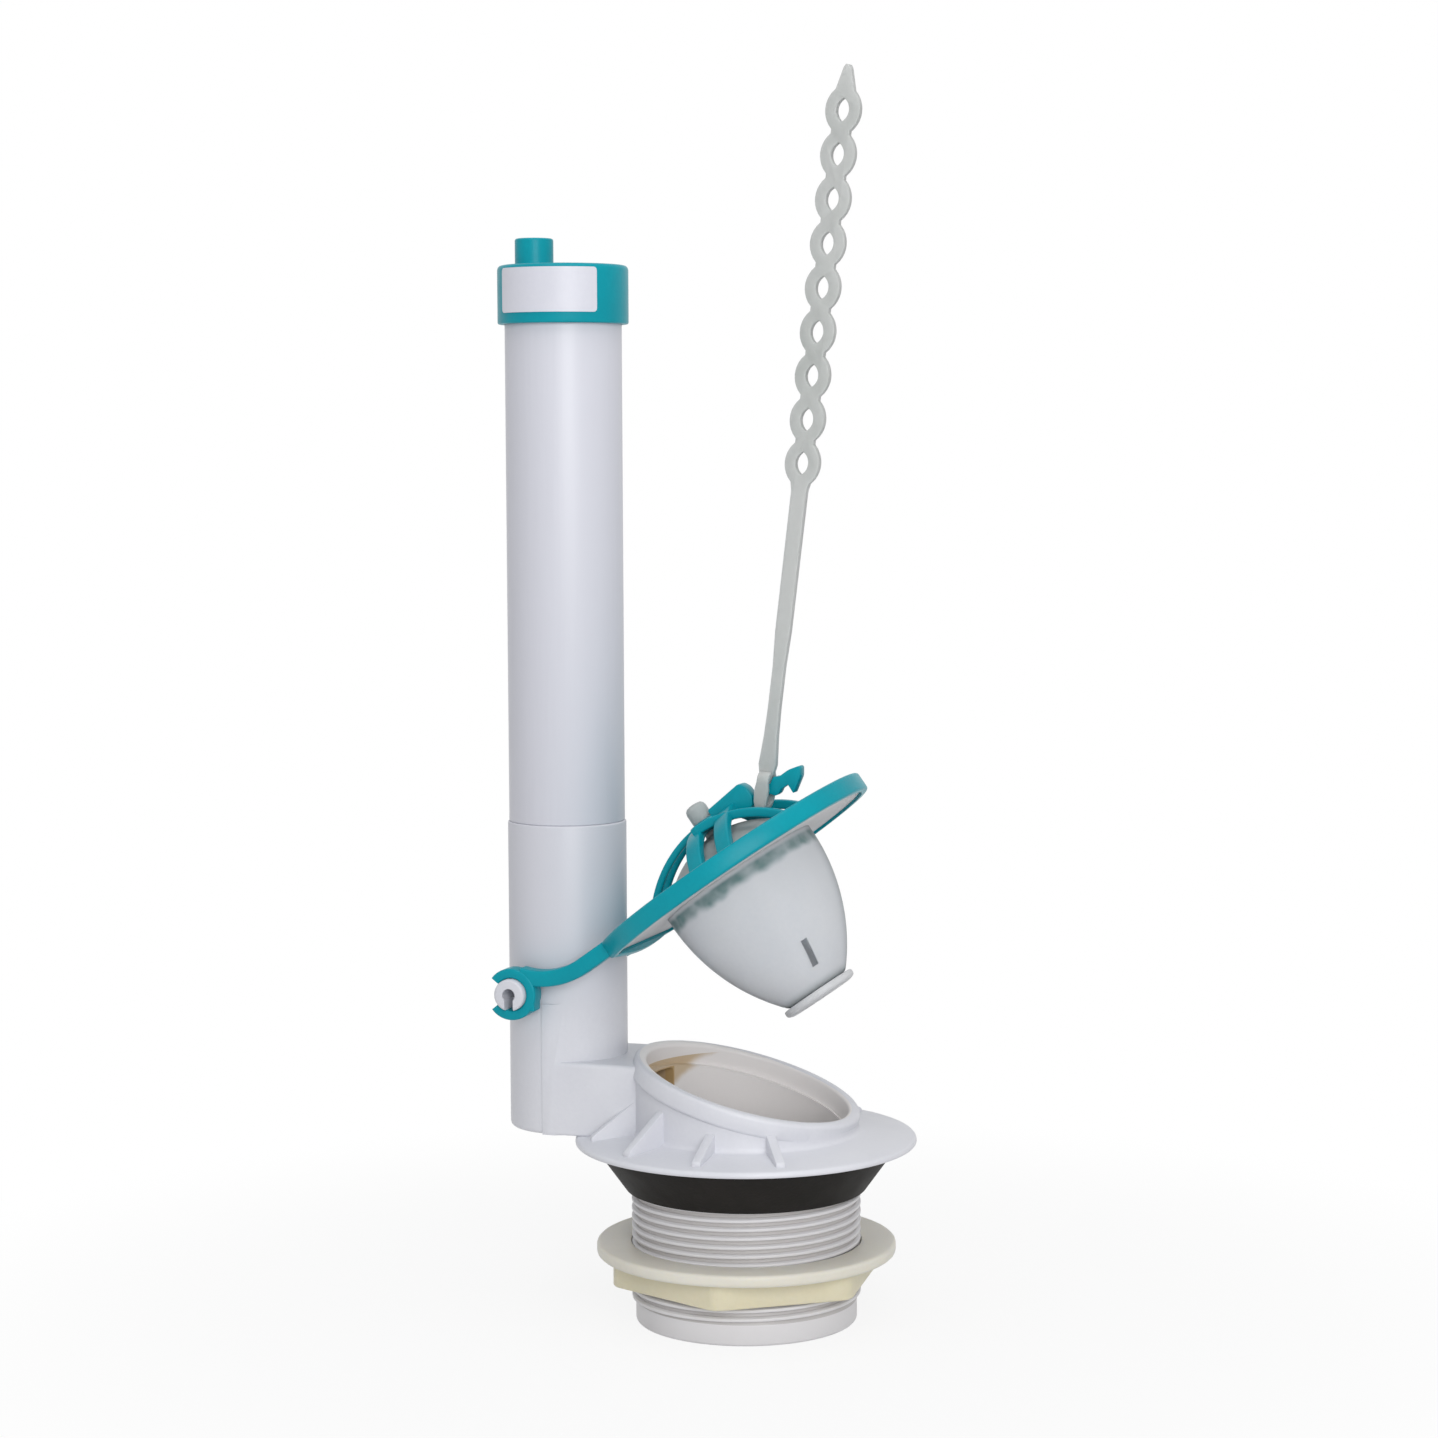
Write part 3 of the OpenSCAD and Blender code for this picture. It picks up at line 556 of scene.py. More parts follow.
def white_moulding():
    """Satin white plastic, with painted light that makes the bore lighter and warmer, painted shade in the
    thread's roots, the top of the standpipe tinted to the tube's tone with a little painted shade, an ochre
    patch on the bore wall and ochre round the port of the arm.
    """
    finish, tint = plastic("white_moulding", (214, 215, 221), (207, 208, 215), 0.42)
    x, y, z = finish.axes()
    out = x * x + y * y
    # Inside the bore. Its coat below is painted light: the bore walls are tinted lighter and warmer to stand
    # in for light reaching them.
    inside = (out < BORE_TINT_R ** 2) * (z > BORE_TINT_LOW)
    below = (z < FLANGE_LOW) * (1 - inside)
    crest = finish.ramp(out, THREAD_ROOT_R ** 2, ROOT_SHADE_R ** 2)
    # Painted shade: the thread's roots are tinted dark grey-brown where shade falls between its turns.
    root = below * (z > PILOT_TOP) * (1 - crest)
    port = ((x < PORT_END) * (x > TUBE_X) * (y * y < (DUCT_W / 2 + PORT_EDGE) ** 2)
            * (z > DUCT_LOW - PORT_EDGE) * (z < DUCT_TOP + PORT_EDGE))
    aside = finish.node("ShaderNodeMath", {"operation": "ABSOLUTE"}, {0: y})
    # An ochre patch on the bore wall beyond the port, fading in upwards above a slanting, wavering lower
    # edge.
    ochre_height = z - aside * OCHRE_SLANT + finish.grain(220, 3) * OCHRE_WAVER
    ochre_patch = finish.ramp(ochre_height, OCHRE_LOW, OCHRE_FULL) * (x < OCHRE_END) * (z < OCHRE_TOP) * inside
    # The top of the standpipe is tinted to the tube's tone and a little darker still, as painted shade that
    # evens it out against the tube.
    stand_tone_and_shade = finish.ramp(z, STAND_TINT_LOW, STAND_TINT_TOP) * (x < -BORE_R)
    coats = ((stand_tone_and_shade, (198, 199, 207)), (below * 0.75, (221, 219, 220)), (root * 0.5, (146, 139, 132)),
             (inside * 0.7, (236, 231, 227)), (ochre_patch * 0.75, (184, 156, 108)), (port * 0.85, (172, 140, 90)))
    for share, colour in coats:
        tint = finish.mix(share, tint, srgb(*colour))
    finish.shader({"Base Color": tint})
    return finish.owner


def pipe():
    """Extruded white pipe with faint streaks along it."""
    finish, _ = plastic("white_pipe", (205, 206, 215), (200, 201, 210), 0.38, 0.1, 0.008, (1, 1, 0.04))
    return finish.owner


def rubber():
    """Dull black rubber with a little bloom."""
    finish, _ = plastic("black_rubber", (24, 22, 20), (31, 28, 26), 0.62, 0.2, 0.05)
    finish.shader({"Specular IOR Level": 0.2})
    return finish.owner


def natural(name, colour, shade):
    """Undyed plastic that light sinks into."""
    finish, _ = plastic(name, colour, shade, 0.46, 0.12, 0.03)
    finish.shader({"Subsurface Weight": 0.25, "Subsurface Radius": (0.004, 0.003, 0.0015)})
    return finish.owner


def teal():
    """Semi-gloss teal plastic."""
    finish, _ = plastic("teal_plastic", (2, 149, 164), (2, 140, 155), 0.34, 0.12, 0.02)
    finish.shader({"Specular IOR Level": 0.16})
    return finish.owner


def label():
    """Bare white label film."""
    finish, _ = plastic("bare_label", (212, 213, 222), (206, 207, 217), 0.4, 0.1, 0.012)
    return finish.owner


def frosted(name, colour, shade, clear, roughness):
    """Frosted plastic that light sinks into and that shows a little of what lies behind it."""
    finish, tint = plastic(name, colour, shade, roughness, 0.1, 0.02)
    finish.shader({"Transmission Weight": clear, "IOR": 1.2, "Specular IOR Level": 0.3,
                   "Subsurface Weight": 0.6, "Subsurface Scale": 0.004, "Subsurface Radius": (1, 1, 1)})
    return finish, tint


def float_plastic():
    """Frosted plastic with the toothed collar seen through it at the mouth, painted shade towards its
    silhouette and painted shade along its darker lower edge.
    """
    finish, tint = frosted("float_plastic", (233, 236, 241), (226, 230, 236), 0.3, 0.45)
    x, side, z = finish.axes()
    x, z = x - FLAPPER_MIDDLE.x, z - FLAPPER_MIDDLE.z
    along = x * math.cos(FLAPPER_SLOPE) + z * math.sin(FLAPPER_SLOPE)
    height = z * math.cos(FLAPPER_SLOPE) - x * math.sin(FLAPPER_SLOPE)
    angle = finish.node("ShaderNodeMath", {"operation": "ARCTAN2"}, {0: side, 1: along})
    wave = finish.node("ShaderNodeMath", {"operation": "SINE"}, {0: angle * (2 * COLLAR_TEETH)})
    uneven = wave * 0.15 + (finish.grain(140, 2) - 0.5) * 2.4
    band = finish.ramp(height + uneven, COLLAR_LOW - 0.7, COLLAR_LOW + 1.4)
    clear = 1 - finish.ramp(height, -1.4, -0.2)
    cloud = 0.48 + 0.06 * wave + 0.35 * finish.ramp(finish.grain(200, 2), 0.35, 0.65)
    # Painted shade: the float is tinted grey towards its silhouette, by the facing angle.
    rim = finish.ramp(finish.node("ShaderNodeLayerWeight", {}, {"Blend": 0.5}, "Facing"), 0.55, 1.0)
    # Painted shade: the float is tinted darker green-grey along its lower edge.
    foot = finish.ramp(FLOAT_LOW - height, -2.4, 0)
    banded = finish.mix(band * clear * cloud, tint, srgb(80, 128, 127))
    edge_shaded = finish.mix(rim * 0.75, banded, srgb(150, 157, 160))
    finish.shader({"Base Color": finish.mix(foot * 0.5, edge_shaded, srgb(140, 152, 150))})
    return finish.owner


WHITE = white_moulding()
PIPE = pipe()
RUBBER = rubber()
CREAM = natural("cream_plastic", (222, 219, 208), (216, 212, 200))
STRAW = natural("straw_plastic", (224, 217, 191), (216, 209, 181))
TEAL = teal()
LABEL = label()
SILICONE = frosted("clear_silicone", (212, 213, 215), (204, 206, 209), 0.1, 0.5)[0].owner
FLOAT_PLASTIC = float_plastic()
# Painted shade: the dome's frosted plastic is darkened for the shadow it sits in under the legs and ring.
DOME_SHADED_PLASTIC = frosted("dome_plastic_painted_shade", (186, 190, 190), (176, 182, 182), 0.2, 0.4)[0].owner
STRAP_PLASTIC = frosted("strap_plastic", (193, 195, 194), (184, 187, 185), 0.1, 0.45)[0].owner


# Valve body

def shank():
    """Shank, flange and seat wall, turned as one ring and cut away inside the sloping rim."""
    top = FLANGE_TOP + ARM_H + BEAD_H
    ring = turned((
        (BORE_R, 0, 0.4), (PILOT_R, 0, 0.8), (PILOT_R, PILOT_TOP, 0.3), (THREAD_ROOT_R, PILOT_TOP + 0.4),
        (THREAD_ROOT_R, FLANGE_LOW), (FLANGE_R, FLANGE_LOW, 0.5), (FLANGE_R, STAND_FOOT, 0.9),
        (WALL_R, FLANGE_TOP, 1.2), (WALL_R, top), (BORE_R, top)))
    mouth_r, clear_r = SEAT_IN_R + 1, RIM_R + 2.5
    mouth = turned(((0, -SEAT_STEP), (mouth_r, -SEAT_STEP), (mouth_r, -BEAD_H / 2),
                    (clear_r, -BEAD_H / 2), (clear_r, top), (0, top)))
    return carved(ring, (), [moved(mouth, SEAT)])


def seat_bead():
    """Rounded rim that the seal closes on."""
    return moved(turned(((SEAT_IN_R, -SEAT_STEP - 0.4), (RIM_R, -BEAD_H, 0.8), (RIM_R, 0, 1.2),
                         (SEAT_IN_R, 0, 1.0))), SEAT)


def gusset(angle, rise):
    """Wedge between the flange and the seat wall."""
    toe = FLANGE_TOP - (FLANGE_TOP - STAND_FOOT) * GUSSET_RUN / (FLANGE_R - WALL_R)
    wedge = side_prism(((WALL_R - 1, FLANGE_TOP - 1), (WALL_R + GUSSET_RUN, toe - 1),
                        (WALL_R + GUSSET_RUN, toe + GUSSET_TOE, 0.5), (WALL_R, FLANGE_TOP + rise, 0.5),
                        (WALL_R - 1, FLANGE_TOP + rise)), GUSSET_T, 0.3)
    return moved(wedge, Matrix.Rotation(math.radians(angle), 4, "Z"))


def arm():
    """Box between the standpipe and the middle of the seat wall."""
    end, middle, side = -BORE_R + 6, (BORE_R + WALL_R) / 2, STAND_R + RIB_PROUD
    box = prism(((TUBE_X, -side), (end, -side), (end, side), (TUBE_X, side)),
                STAND_FOOT, FLANGE_TOP + ARM_H, 1.1, 3)
    well = turned(((0, 0), (middle, 0), (middle, 2 * FLANGE_TOP), (0, 2 * FLANGE_TOP)))
    return carved(box, (), [well])


def standpipe():
    """Lower standpipe and the spigot inside the overflow tube."""
    joint = TUBE_LOW.z
    return moved(turned(((0, STAND_FOOT), (STAND_R, STAND_FOOT, 1.2), (STAND_R, RIB_TOP + RIB_CLEAR),
                         (STAND_R, joint, 0.5), (SPIGOT_R, joint), (SPIGOT_R, joint + SPIGOT_LEN, 0.4),
                         (0, joint + SPIGOT_LEN))), STAND)


def standpipe_ribs():
    """Flat rib down each side of the standpipe, blended into it towards the seat."""
    side = STAND_R + RIB_PROUD
    blend = math.sqrt(STAND_R ** 2 - RIB_BLEND ** 2)
    rib = prism(((-RIB_HALF, -side), (RIB_HALF, -side), (RIB_BLEND, -blend), (RIB_BLEND, blend),
                 (RIB_HALF, side), (-RIB_HALF, side)), STAND_FOOT, RIB_TOP, 0.15)
    return moved(rib, STAND)


def hinge_pins():
    """Bar across the standpipe whose ends are the hinge pins."""
    pins = turned(((0, -PIN_END), (PIN_R, -PIN_END, 0.7), (PIN_R, PIN_END, 0.7), (0, PIN_END)), PIN_STEPS)
    return moved(pins, Matrix.Translation(HINGE) @ UPRIGHT)


def pin_hollow(side):
    """Hole and slot in the end of a hinge pin."""
    outside, deep, wide = side * (PIN_END + 1), side * (PIN_END - PIN_BORE_DEPTH), PIN_SLOT / 2
    hole = turned(((0, outside), (PIN_BORE_R, outside), (PIN_BORE_R, deep), (0, deep)), HOLE_STEPS)
    slot = prism(((-wide, 0), (wide, 0), (wide, -2 * PIN_R), (-wide, -2 * PIN_R)), outside, deep + side)
    return [moved(cut, Matrix.Translation(HINGE) @ UPRIGHT) for cut in (hole, slot)]


def valve_body():
    """The whole white moulding but for its thread."""
    water_way = turned(((0, DUCT_LOW), (STAND_BORE_R, DUCT_LOW, 1.5), (STAND_BORE_R, WATER_WAY_TOP),
                        (0, WATER_WAY_TOP)))
    half = DUCT_W / 2
    duct = prism(((TUBE_X, -half), (0, -half), (0, half), (TUBE_X, half)), DUCT_LOW, DUCT_TOP, 1.0)
    joins = [seat_bead(), arm(), standpipe(), standpipe_ribs(), hinge_pins()]
    joins += [gusset(side * angle, rise) for angle, rise in GUSSETS for side in (-1, 1)]
    return carved(shank(), joins, [moved(water_way, STAND), duct, *pin_hollow(-1), *pin_hollow(1)])


def thread():
    """Helical ridge wound up the shank: one turn, repeated upwards and closed at its ends."""
    bm = bmesh.new()
    root, foot, crest = THREAD_ROOT_R - 0.3, THREAD_FOOT / 2, THREAD_CREST / 2
    outline(bm, ((root, -foot), (THREAD_R, -crest, 0.25), (THREAD_R, crest, 0.25), (root, foot)))
    start = PILOT_TOP + THREAD_FOOT / 2
    moved(bm, Matrix.Translation((0, 0, start)) @ UPRIGHT)
    bmesh.ops.delete(bm, geom=bm.faces[:], context="FACES_ONLY")
    bmesh.ops.spin(bm, geom=bm.verts[:] + bm.edges[:], axis=(0, 0, 1), cent=(0, 0, 0),
                   dvec=(0, 0, THREAD_PITCH / TURN_STEPS), angle=math.tau, steps=TURN_STEPS)
    turn = bm.verts[:] + bm.edges[:] + bm.faces[:]
    for i in range(1, int((FLANGE_LOW - start) / THREAD_PITCH)):
        copy = bmesh.ops.duplicate(bm, geom=turn)["geom"]
        raised_verts = [v for v in copy if isinstance(v, bmesh.types.BMVert)]
        bmesh.ops.translate(bm, vec=(0, 0, i * THREAD_PITCH), verts=raised_verts)
    tidy(bm)
    bmesh.ops.holes_fill(bm, edges=[e for e in bm.edges if e.is_boundary])
    return moved(tidy(bm), Matrix.Rotation(math.pi, 4, "Z"))


piece("valve_body_moulding", valve_body(), "base", "valve_body", WHITE)
piece("shank_thread", thread(), "base", "valve_body", WHITE)


# Overflow tube, gasket, washer and locknut

def overflow_tube():
    """Plain pipe with eased ends."""
    inner = TUBE_R - TUBE_WALL
    return turned(((inner, TUBE_LOW.z), (TUBE_R, TUBE_LOW.z, 0.35), (TUBE_R, TUBE_HIGH.z, 0.4),
                   (inner, TUBE_HIGH.z, 0.4)))


def gasket():
    """Cone-shaped rubber ring under the flange."""
    low, high = (corner.z for corner in node_box("tank_gasket"))
    inner = NUT_BORE_R + GASKET_GAP
    return turned(((inner, low), (inner + GASKET_LOW_W, low, 0.5),
                   (inner + GASKET_TOP_W, high - GASKET_EDGE, 0.5), (inner + GASKET_TOP_W, high, 0.3),
                   (inner, high)))


def washer():
    """Flat friction washer with a rounded edge."""
    low, high = node_box("friction_washer")
    edge = high.x
    return turned(((NUT_BORE_R, low.z, 0.3), (edge, low.z, 0.9), (edge, high.z, 0.9),
                   (NUT_BORE_R, high.z, 0.3)))


def locknut():
    """Hexagonal nut with rounded corners and soft edges."""
    low, high = (corner.z for corner in node_box("locknut"))
    corner_r = NUT_FLATS / 2 / math.cos(math.pi / 6)
    corners = [(corner_r * math.cos(a), corner_r * math.sin(a), NUT_CORNER)
               for a in (NUT_TURN + math.tau * i / 6 for i in range(6))]
    hexagon = prism(corners, low, high, 0.6, 3)
    bore = turned(((0, low - 1), (NUT_BORE_R, low - 1), (NUT_BORE_R, high + 1), (0, high + 1)))
    return carved(hexagon, (), [bore])


piece("overflow_pipe", overflow_tube(), "base", "overflow_tube", PIPE, STAND)
piece("gasket_ring", gasket(), "base", "tank_gasket", RUBBER)
piece("washer_ring", washer(), "washer", "friction_washer", CREAM)
piece("hexagon_nut", locknut(), "nut", "locknut", STRAW)


# Refill cap

def refill_cap():
    """Cap with an open top, crossed by a bridge that carries the hose nipple."""
    low, high, top = CAP_LOW.z, CAP_HIGH.z, CAP_HIGH.z - NIPPLE_H
    inner, under = CAP_R - CAP_WALL, top - CAP_TOP_T
    shell = turned(((inner, low, 0.3), (CAP_R, low, 0.5), (CAP_R, top, CAP_ROUND), (CAP_OPEN_R, top, 0.5),
                    (CAP_OPEN_R, under, 0.3), (inner, under)))
    reach = CAP_OPEN_R + 1
    back, front = -NIPPLE_SHIFT - BRIDGE_W / 2, -NIPPLE_SHIFT + BRIDGE_W / 2
    back_half, front_half = (math.sqrt(max(reach ** 2 - edge ** 2, 1)) for edge in (back, front))
    bridge = prism(((back, -back_half), (front, -front_half), (front, front_half), (back, back_half)),
                   under, top, 0.4)
    foot, foot_r = under + 0.5, NIPPLE_R + NIPPLE_FOOT
    nipple = turned(((0, foot), (foot_r, foot), (foot_r, top), (NIPPLE_R, top, 0.6), (NIPPLE_R, high, 0.6),
                     (0, high)), PIN_STEPS)
    hose_way = turned(((0, under - 2), (NIPPLE_BORE_R, under - 2), (NIPPLE_BORE_R, high + 1), (0, high + 1)),
                      HOSE_STEPS)
    shift = Matrix.Translation((-NIPPLE_SHIFT, 0, 0))
    return carved(shell, [bridge, moved(nipple, shift)], [moved(hose_way, shift)])


def cap_label():
    """Thin film bent round the front of the cap."""
    low, high = node_box("cap_label")
    radius = CAP_R + LABEL_GAP
    half = LABEL_ARC * radius / 2
    bm = prism(((-half, low.z, LABEL_CORNER), (half, low.z, LABEL_CORNER), (half, high.z, LABEL_CORNER),
                (-half, high.z, LABEL_CORNER)), 0, LABEL_T)
    for step in range(1, LABEL_STEPS):
        place = half * (2 * step / LABEL_STEPS - 1)
        bmesh.ops.bisect_plane(bm, geom=bm.verts[:] + bm.edges[:] + bm.faces[:], plane_co=(place, 0, 0),
                               plane_no=(1, 0, 0))
    for v in bm.verts:
        angle, out = LABEL_TURN + v.co.x / radius, radius + v.co.z
        v.co = (out * math.sin(angle), -out * math.cos(angle), v.co.y)
    return tidy(bm)


piece("cap_moulding", refill_cap(), "cap", "refill_cap", TEAL, STAND)
piece("bare_label_film", cap_label(), "cap", "cap_label", LABEL, STAND)


# Flapper frame

def chord_disc(radius, chord):
    """Corners of a round plate cut straight across on the hinge side."""
    end = math.acos(chord / radius)
    angles = [end - 2 * end * i / RING_STEPS for i in range(RING_STEPS + 1)]
    return [(radius * math.cos(a), radius * math.sin(a)) for a in angles]


def chord_ridge():
    """Curved ridge under the straight edge of the ring."""
    steps = 12
    low = [(RIDGE_LEN * (i / steps - 0.5), RING_LOW + RIDGE_DROP * ((2 * i / steps - 1) ** 2 - 1))
           for i in range(steps + 1)]
    return moved(prism((*low, (RIDGE_LEN / 2, RING_LOW + 1), (-RIDGE_LEN / 2, RING_LOW + 1)),
                       CHORD_U + 0.1, CHORD_U + LIP_T - 0.1, 0.2), FACING_X)


def flapper_ring():
    """Ring with a lip round the seal, open in the middle."""
    plate = prism(chord_disc(RING_R, CHORD_U), RING_LOW, RING_TOP, 0.7, 3)
    pocket = prism(chord_disc(RING_R - LIP_T, CHORD_U + LIP_T), RING_LOW - 1, SEAL_TOP)
    mouth = turned(((0, RING_LOW - 1), (COLLAR_IN_R, RING_LOW - 1), (COLLAR_IN_R, RING_TOP + 1),
                    (0, RING_TOP + 1)))
    return carved(plate, [chord_ridge()], [pocket, mouth])


def collar():
    """Toothed collar that holds the float."""
    ring = turned(((COLLAR_IN_R, COLLAR_LOW), (COLLAR_R - 0.3, COLLAR_LOW, 0.3), (COLLAR_R, SEAL_TOP + 1),
                   (COLLAR_IN_R, SEAL_TOP + 1)))
    gaps = []
    reach, half = 2 * COLLAR_R, TOOTH_GAP / 2
    for i in range(COLLAR_TEETH // 2):
        gap = prism(((-reach, -half), (reach, -half), (reach, half), (-reach, half)), COLLAR_LOW - 1, -0.6)
        gaps.append(moved(gap, Matrix.Rotation(math.tau * i / COLLAR_TEETH, 4, "Z")))
    return carved(ring, (), gaps)


HINGE_LOCAL = FLAPPER.inverted() @ HINGE
EAR_MID_R = (EAR_BORE_R + EAR_R) / 2


def hinge_arm(side):
    """Level bar that bends up into a hooked ear round its pin."""
    across = side * (EAR_IN + EAR_W / 2)
    level = RING_TOP - ARM_T / 2
    rise = HINGE_LOCAL.z + EAR_MID_R * math.sin(EAR_JOIN) - level
    bend_r = (ARM_BEND ** 2 + rise ** 2) / (2 * rise)
    bend_u = HINGE_LOCAL.x + EAR_MID_R * math.cos(EAR_JOIN) + ARM_BEND
    bend_angle = math.atan2(ARM_BEND, bend_r - rise)
    bar = bmesh.new()
    bar_section(bar, (bend_u, across, level), ARM_T, EAR_W - ARM_INSET, 0.7)
    root = bar.faces[:]
    bmesh.ops.spin(bar, geom=root, axis=(0, 1, 0), cent=(bend_u, across, level + bend_r),
                   angle=bend_angle, steps=ARM_STEPS)
    raised(bar, root, (ARM_ROOT - RING_R - bend_u, 0, 0))
    bmesh.ops.delete(bar, geom=root, context="FACES_ONLY")
    ear = bmesh.new()
    bar_section(ear, (0, across, EAR_MID_R), EAR_R - EAR_BORE_R, EAR_W, 0.5)
    bmesh.ops.spin(ear, geom=ear.faces[:], axis=(0, 1, 0), cent=(0, across, 0),
                   angle=math.tau - EAR_MOUTH, steps=EAR_STEPS)
    hinge = Matrix.Translation((HINGE_LOCAL.x, 0, HINGE_LOCAL.z))
    turn = FLAPPER_SLOPE - math.pi / 2 + EAR_MOUTH / 2
    moved(ear, hinge @ Matrix.Rotation(turn, 4, "Y"))
    tab_out = TAB_IN + TAB_W
    tab = side_prism(((TAB_IN, -EAR_BORE_R), (tab_out, -EAR_BORE_R), (tab_out, TAB_TOP), (TAB_IN, TAB_TOP)),
                     EAR_W - TAB_INSET, 0.4, across)
    moved(tab, hinge @ Matrix.Rotation(FLAPPER_SLOPE, 4, "Y"))
    clear_r = EAR_BORE_R + PIN_CLEAR
    bore = turned(((0, -PIN_END), (clear_r, -PIN_END), (clear_r, PIN_END), (0, PIN_END)), PIN_STEPS)
    arm_and_tab = carved(tidy(bar), [tab], [moved(bore, hinge @ UPRIGHT)])
    return carved(tidy(ear), [arm_and_tab])


def leg(width, depth=LEG_T, radius=LEG_R, rise=LEG_RISE, whole=False):
    """Arched leg from the top of the arch out and down to the plate, or the whole arch."""
    bm = bmesh.new()
    centre = rise - radius
    bar_section(bm, (0, 0, rise - depth / 2), depth, width, 0.5)
    reach = math.acos((RING_TOP - 1 - centre) / (radius - depth / 2))
    if whole:
        bmesh.ops.rotate(bm, verts=bm.verts, cent=(0, 0, centre), matrix=Matrix.Rotation(-reach, 3, "Y"))
        reach *= 2
    bmesh.ops.spin(bm, geom=bm.faces[:], axis=(0, 1, 0), cent=(0, 0, centre), angle=reach, steps=LEG_STEPS)
    return tidy(bm)


def spider():
    """Arched legs over the air dome, joined by a cross piece and a hub."""
    legs = []
    for along in SIDE_LEGS:
        sideways = Matrix.Translation((along, 0, 0)) @ Matrix.Rotation(math.pi / 2, 4, "Z")
        legs.append(moved(leg(SIDE_LEG_W, whole=True), sideways))
    for side in (-1, 1):
        back = Matrix.Translation((0, side * HINGE_LEGS / 2, 0)) @ Matrix.Rotation(math.pi, 4, "Z")
        legs.append(moved(leg(HINGE_LEG_T, HINGE_LEG_T, HINGE_LEG_R, HINGE_LEG_RISE), back))
        legs.append(moved(leg(LEG_W), Matrix.Translation((0, side * STRAP_LEGS / 2, 0))))
    wide, under = (STRAP_LEGS + LEG_W) / 2 - 2 * CROSS_INSET, LEG_RISE - LEG_T
    cross = prism(((-LEG_W / 2, -wide), (CROSS_END, -wide), (CROSS_END, wide), (-LEG_W / 2, wide)),
                  under + CROSS_INSET, LEG_RISE - CROSS_INSET, 0.5)
    foot = under - CROSS_INSET
    hub = turned(((0, foot), (HUB_R, foot, 0.4), (HUB_R, HUB_TOP, 0.5), (0, HUB_TOP)), PIN_STEPS)
    return carved(hub, [cross, *legs])


def strap_hook():
    """Beam from the hub out to the strap, with its barbed hook."""
    start, low, top = HUB_R - LEG_W / 2, HOOK_S - HOOK_T / 2, HOOK_S + HOOK_T / 2
    inner, root, end = BEAM_LEN - 3, HOOK_U + HOOK_NECK, HOOK_U + HOOK_LEN
    beam = side_prism((
        (start, LEG_RISE - LEG_T + 0.4), (start + 4, low + 0.6, 0.8), (BEAM_LEN - 1.4, low, 0.4),
        (BEAM_LEN, low + 2, 0.6), (BEAM_LEN - 0.1, BEAM_TOP - 2, 0.6), (BEAM_LEN - 1.2, BEAM_TOP, 0.8),
        (start, BEAM_TOP - 1, 0.5)), BEAM_W, 0.4)
    hook = side_prism((
        (inner, low + 0.1), (root - 1, low + 0.1), (root, low - 1.3, 0.4), (root + 1.2, low - 1.2, 0.4),
        (root + 2.2, low - 0.6, 0.3), (BARB_U, low - 0.7), (BARB_U - 0.1, low - BARB_DROP, 0.3),
        (end - 1.4, low - 0.9, 0.4), (end, HOOK_S - 0.1, 0.4), (end - 0.3, HOOK_S + 0.5, 0.3),
        (end - 3, top + 0.1, 0.5), (root + 3.6, top + 0.1, 0.5), (root + 2.3, top + 0.9, 0.4),
        (root + 0.8, top), (inner, top)), HOOK_W, 0.3)
    return carved(beam, [hook])


for part_name, part_mesh in (("flapper_ring", flapper_ring()), ("float_collar", collar()),
                             ("hinge_arm_near", hinge_arm(-1)), ("hinge_arm_far", hinge_arm(1)),
                             ("arched_legs", spider()), ("strap_hook", strap_hook())):
    piece(part_name, part_mesh, "flapper", "flapper_frame", TEAL, FLAPPER)


# Seal, dome, float and dial

def seal():
    """Flat silicone ring that closes the seat."""
    edge = chord_disc(RING_R - LIP_T - SEAL_GAP, CHORD_U + LIP_T + SEAL_GAP)
    plate = prism(edge, SEAL_LOW, SEAL_TOP, 0.3)
    hole_r = COLLAR_R + SEAL_GAP
    hole = turned(((0, SEAL_LOW - 1), (hole_r, SEAL_LOW - 1), (hole_r, SEAL_TOP + 1), (0, SEAL_TOP + 1)))
    return carved(plate, (), [hole])


def air_dome():
    """Shallow dome over the float, with a stud that snaps into the hub."""
    rise = DOME_TOP - DOME_LOW
    ball = (DOME_R ** 2 + rise ** 2) / (2 * rise)
    middle = DOME_TOP - ball
    steps = 14
    edge_angle = math.asin(DOME_R / ball)
    outer = [(ball * math.sin(edge_angle * i / steps), middle + ball * math.cos(edge_angle * i / steps))
             for i in range(steps, 0, -1)]
    outer = [p for p in outer if p[0] > STUD_R + 0.5]
    thin = ball - DOME_WALL
    inner_edge = math.acos((DOME_LOW - middle) / thin)
    inner = [(thin * math.sin(inner_edge * i / steps), middle + thin * math.cos(inner_edge * i / steps))
             for i in range(steps + 1)]
    head_top = HUB_TOP + HEAD_H
    return turned((*outer, (STUD_R, DOME_TOP, 0.5), (STUD_R, HUB_TOP), (HEAD_R, HUB_TOP, 0.4),
                   (HEAD_R, head_top, 1.6), (0, head_top), *inner), DIAL_STEPS)


def float_r(depth):
    """Radius of the float at a depth below its mouth."""
    return FLOAT_R + math.sqrt(FLOAT_BULGE ** 2 - (BULGE_DROP - depth) ** 2) - math.sqrt(
        FLOAT_BULGE ** 2 - BULGE_DROP ** 2)


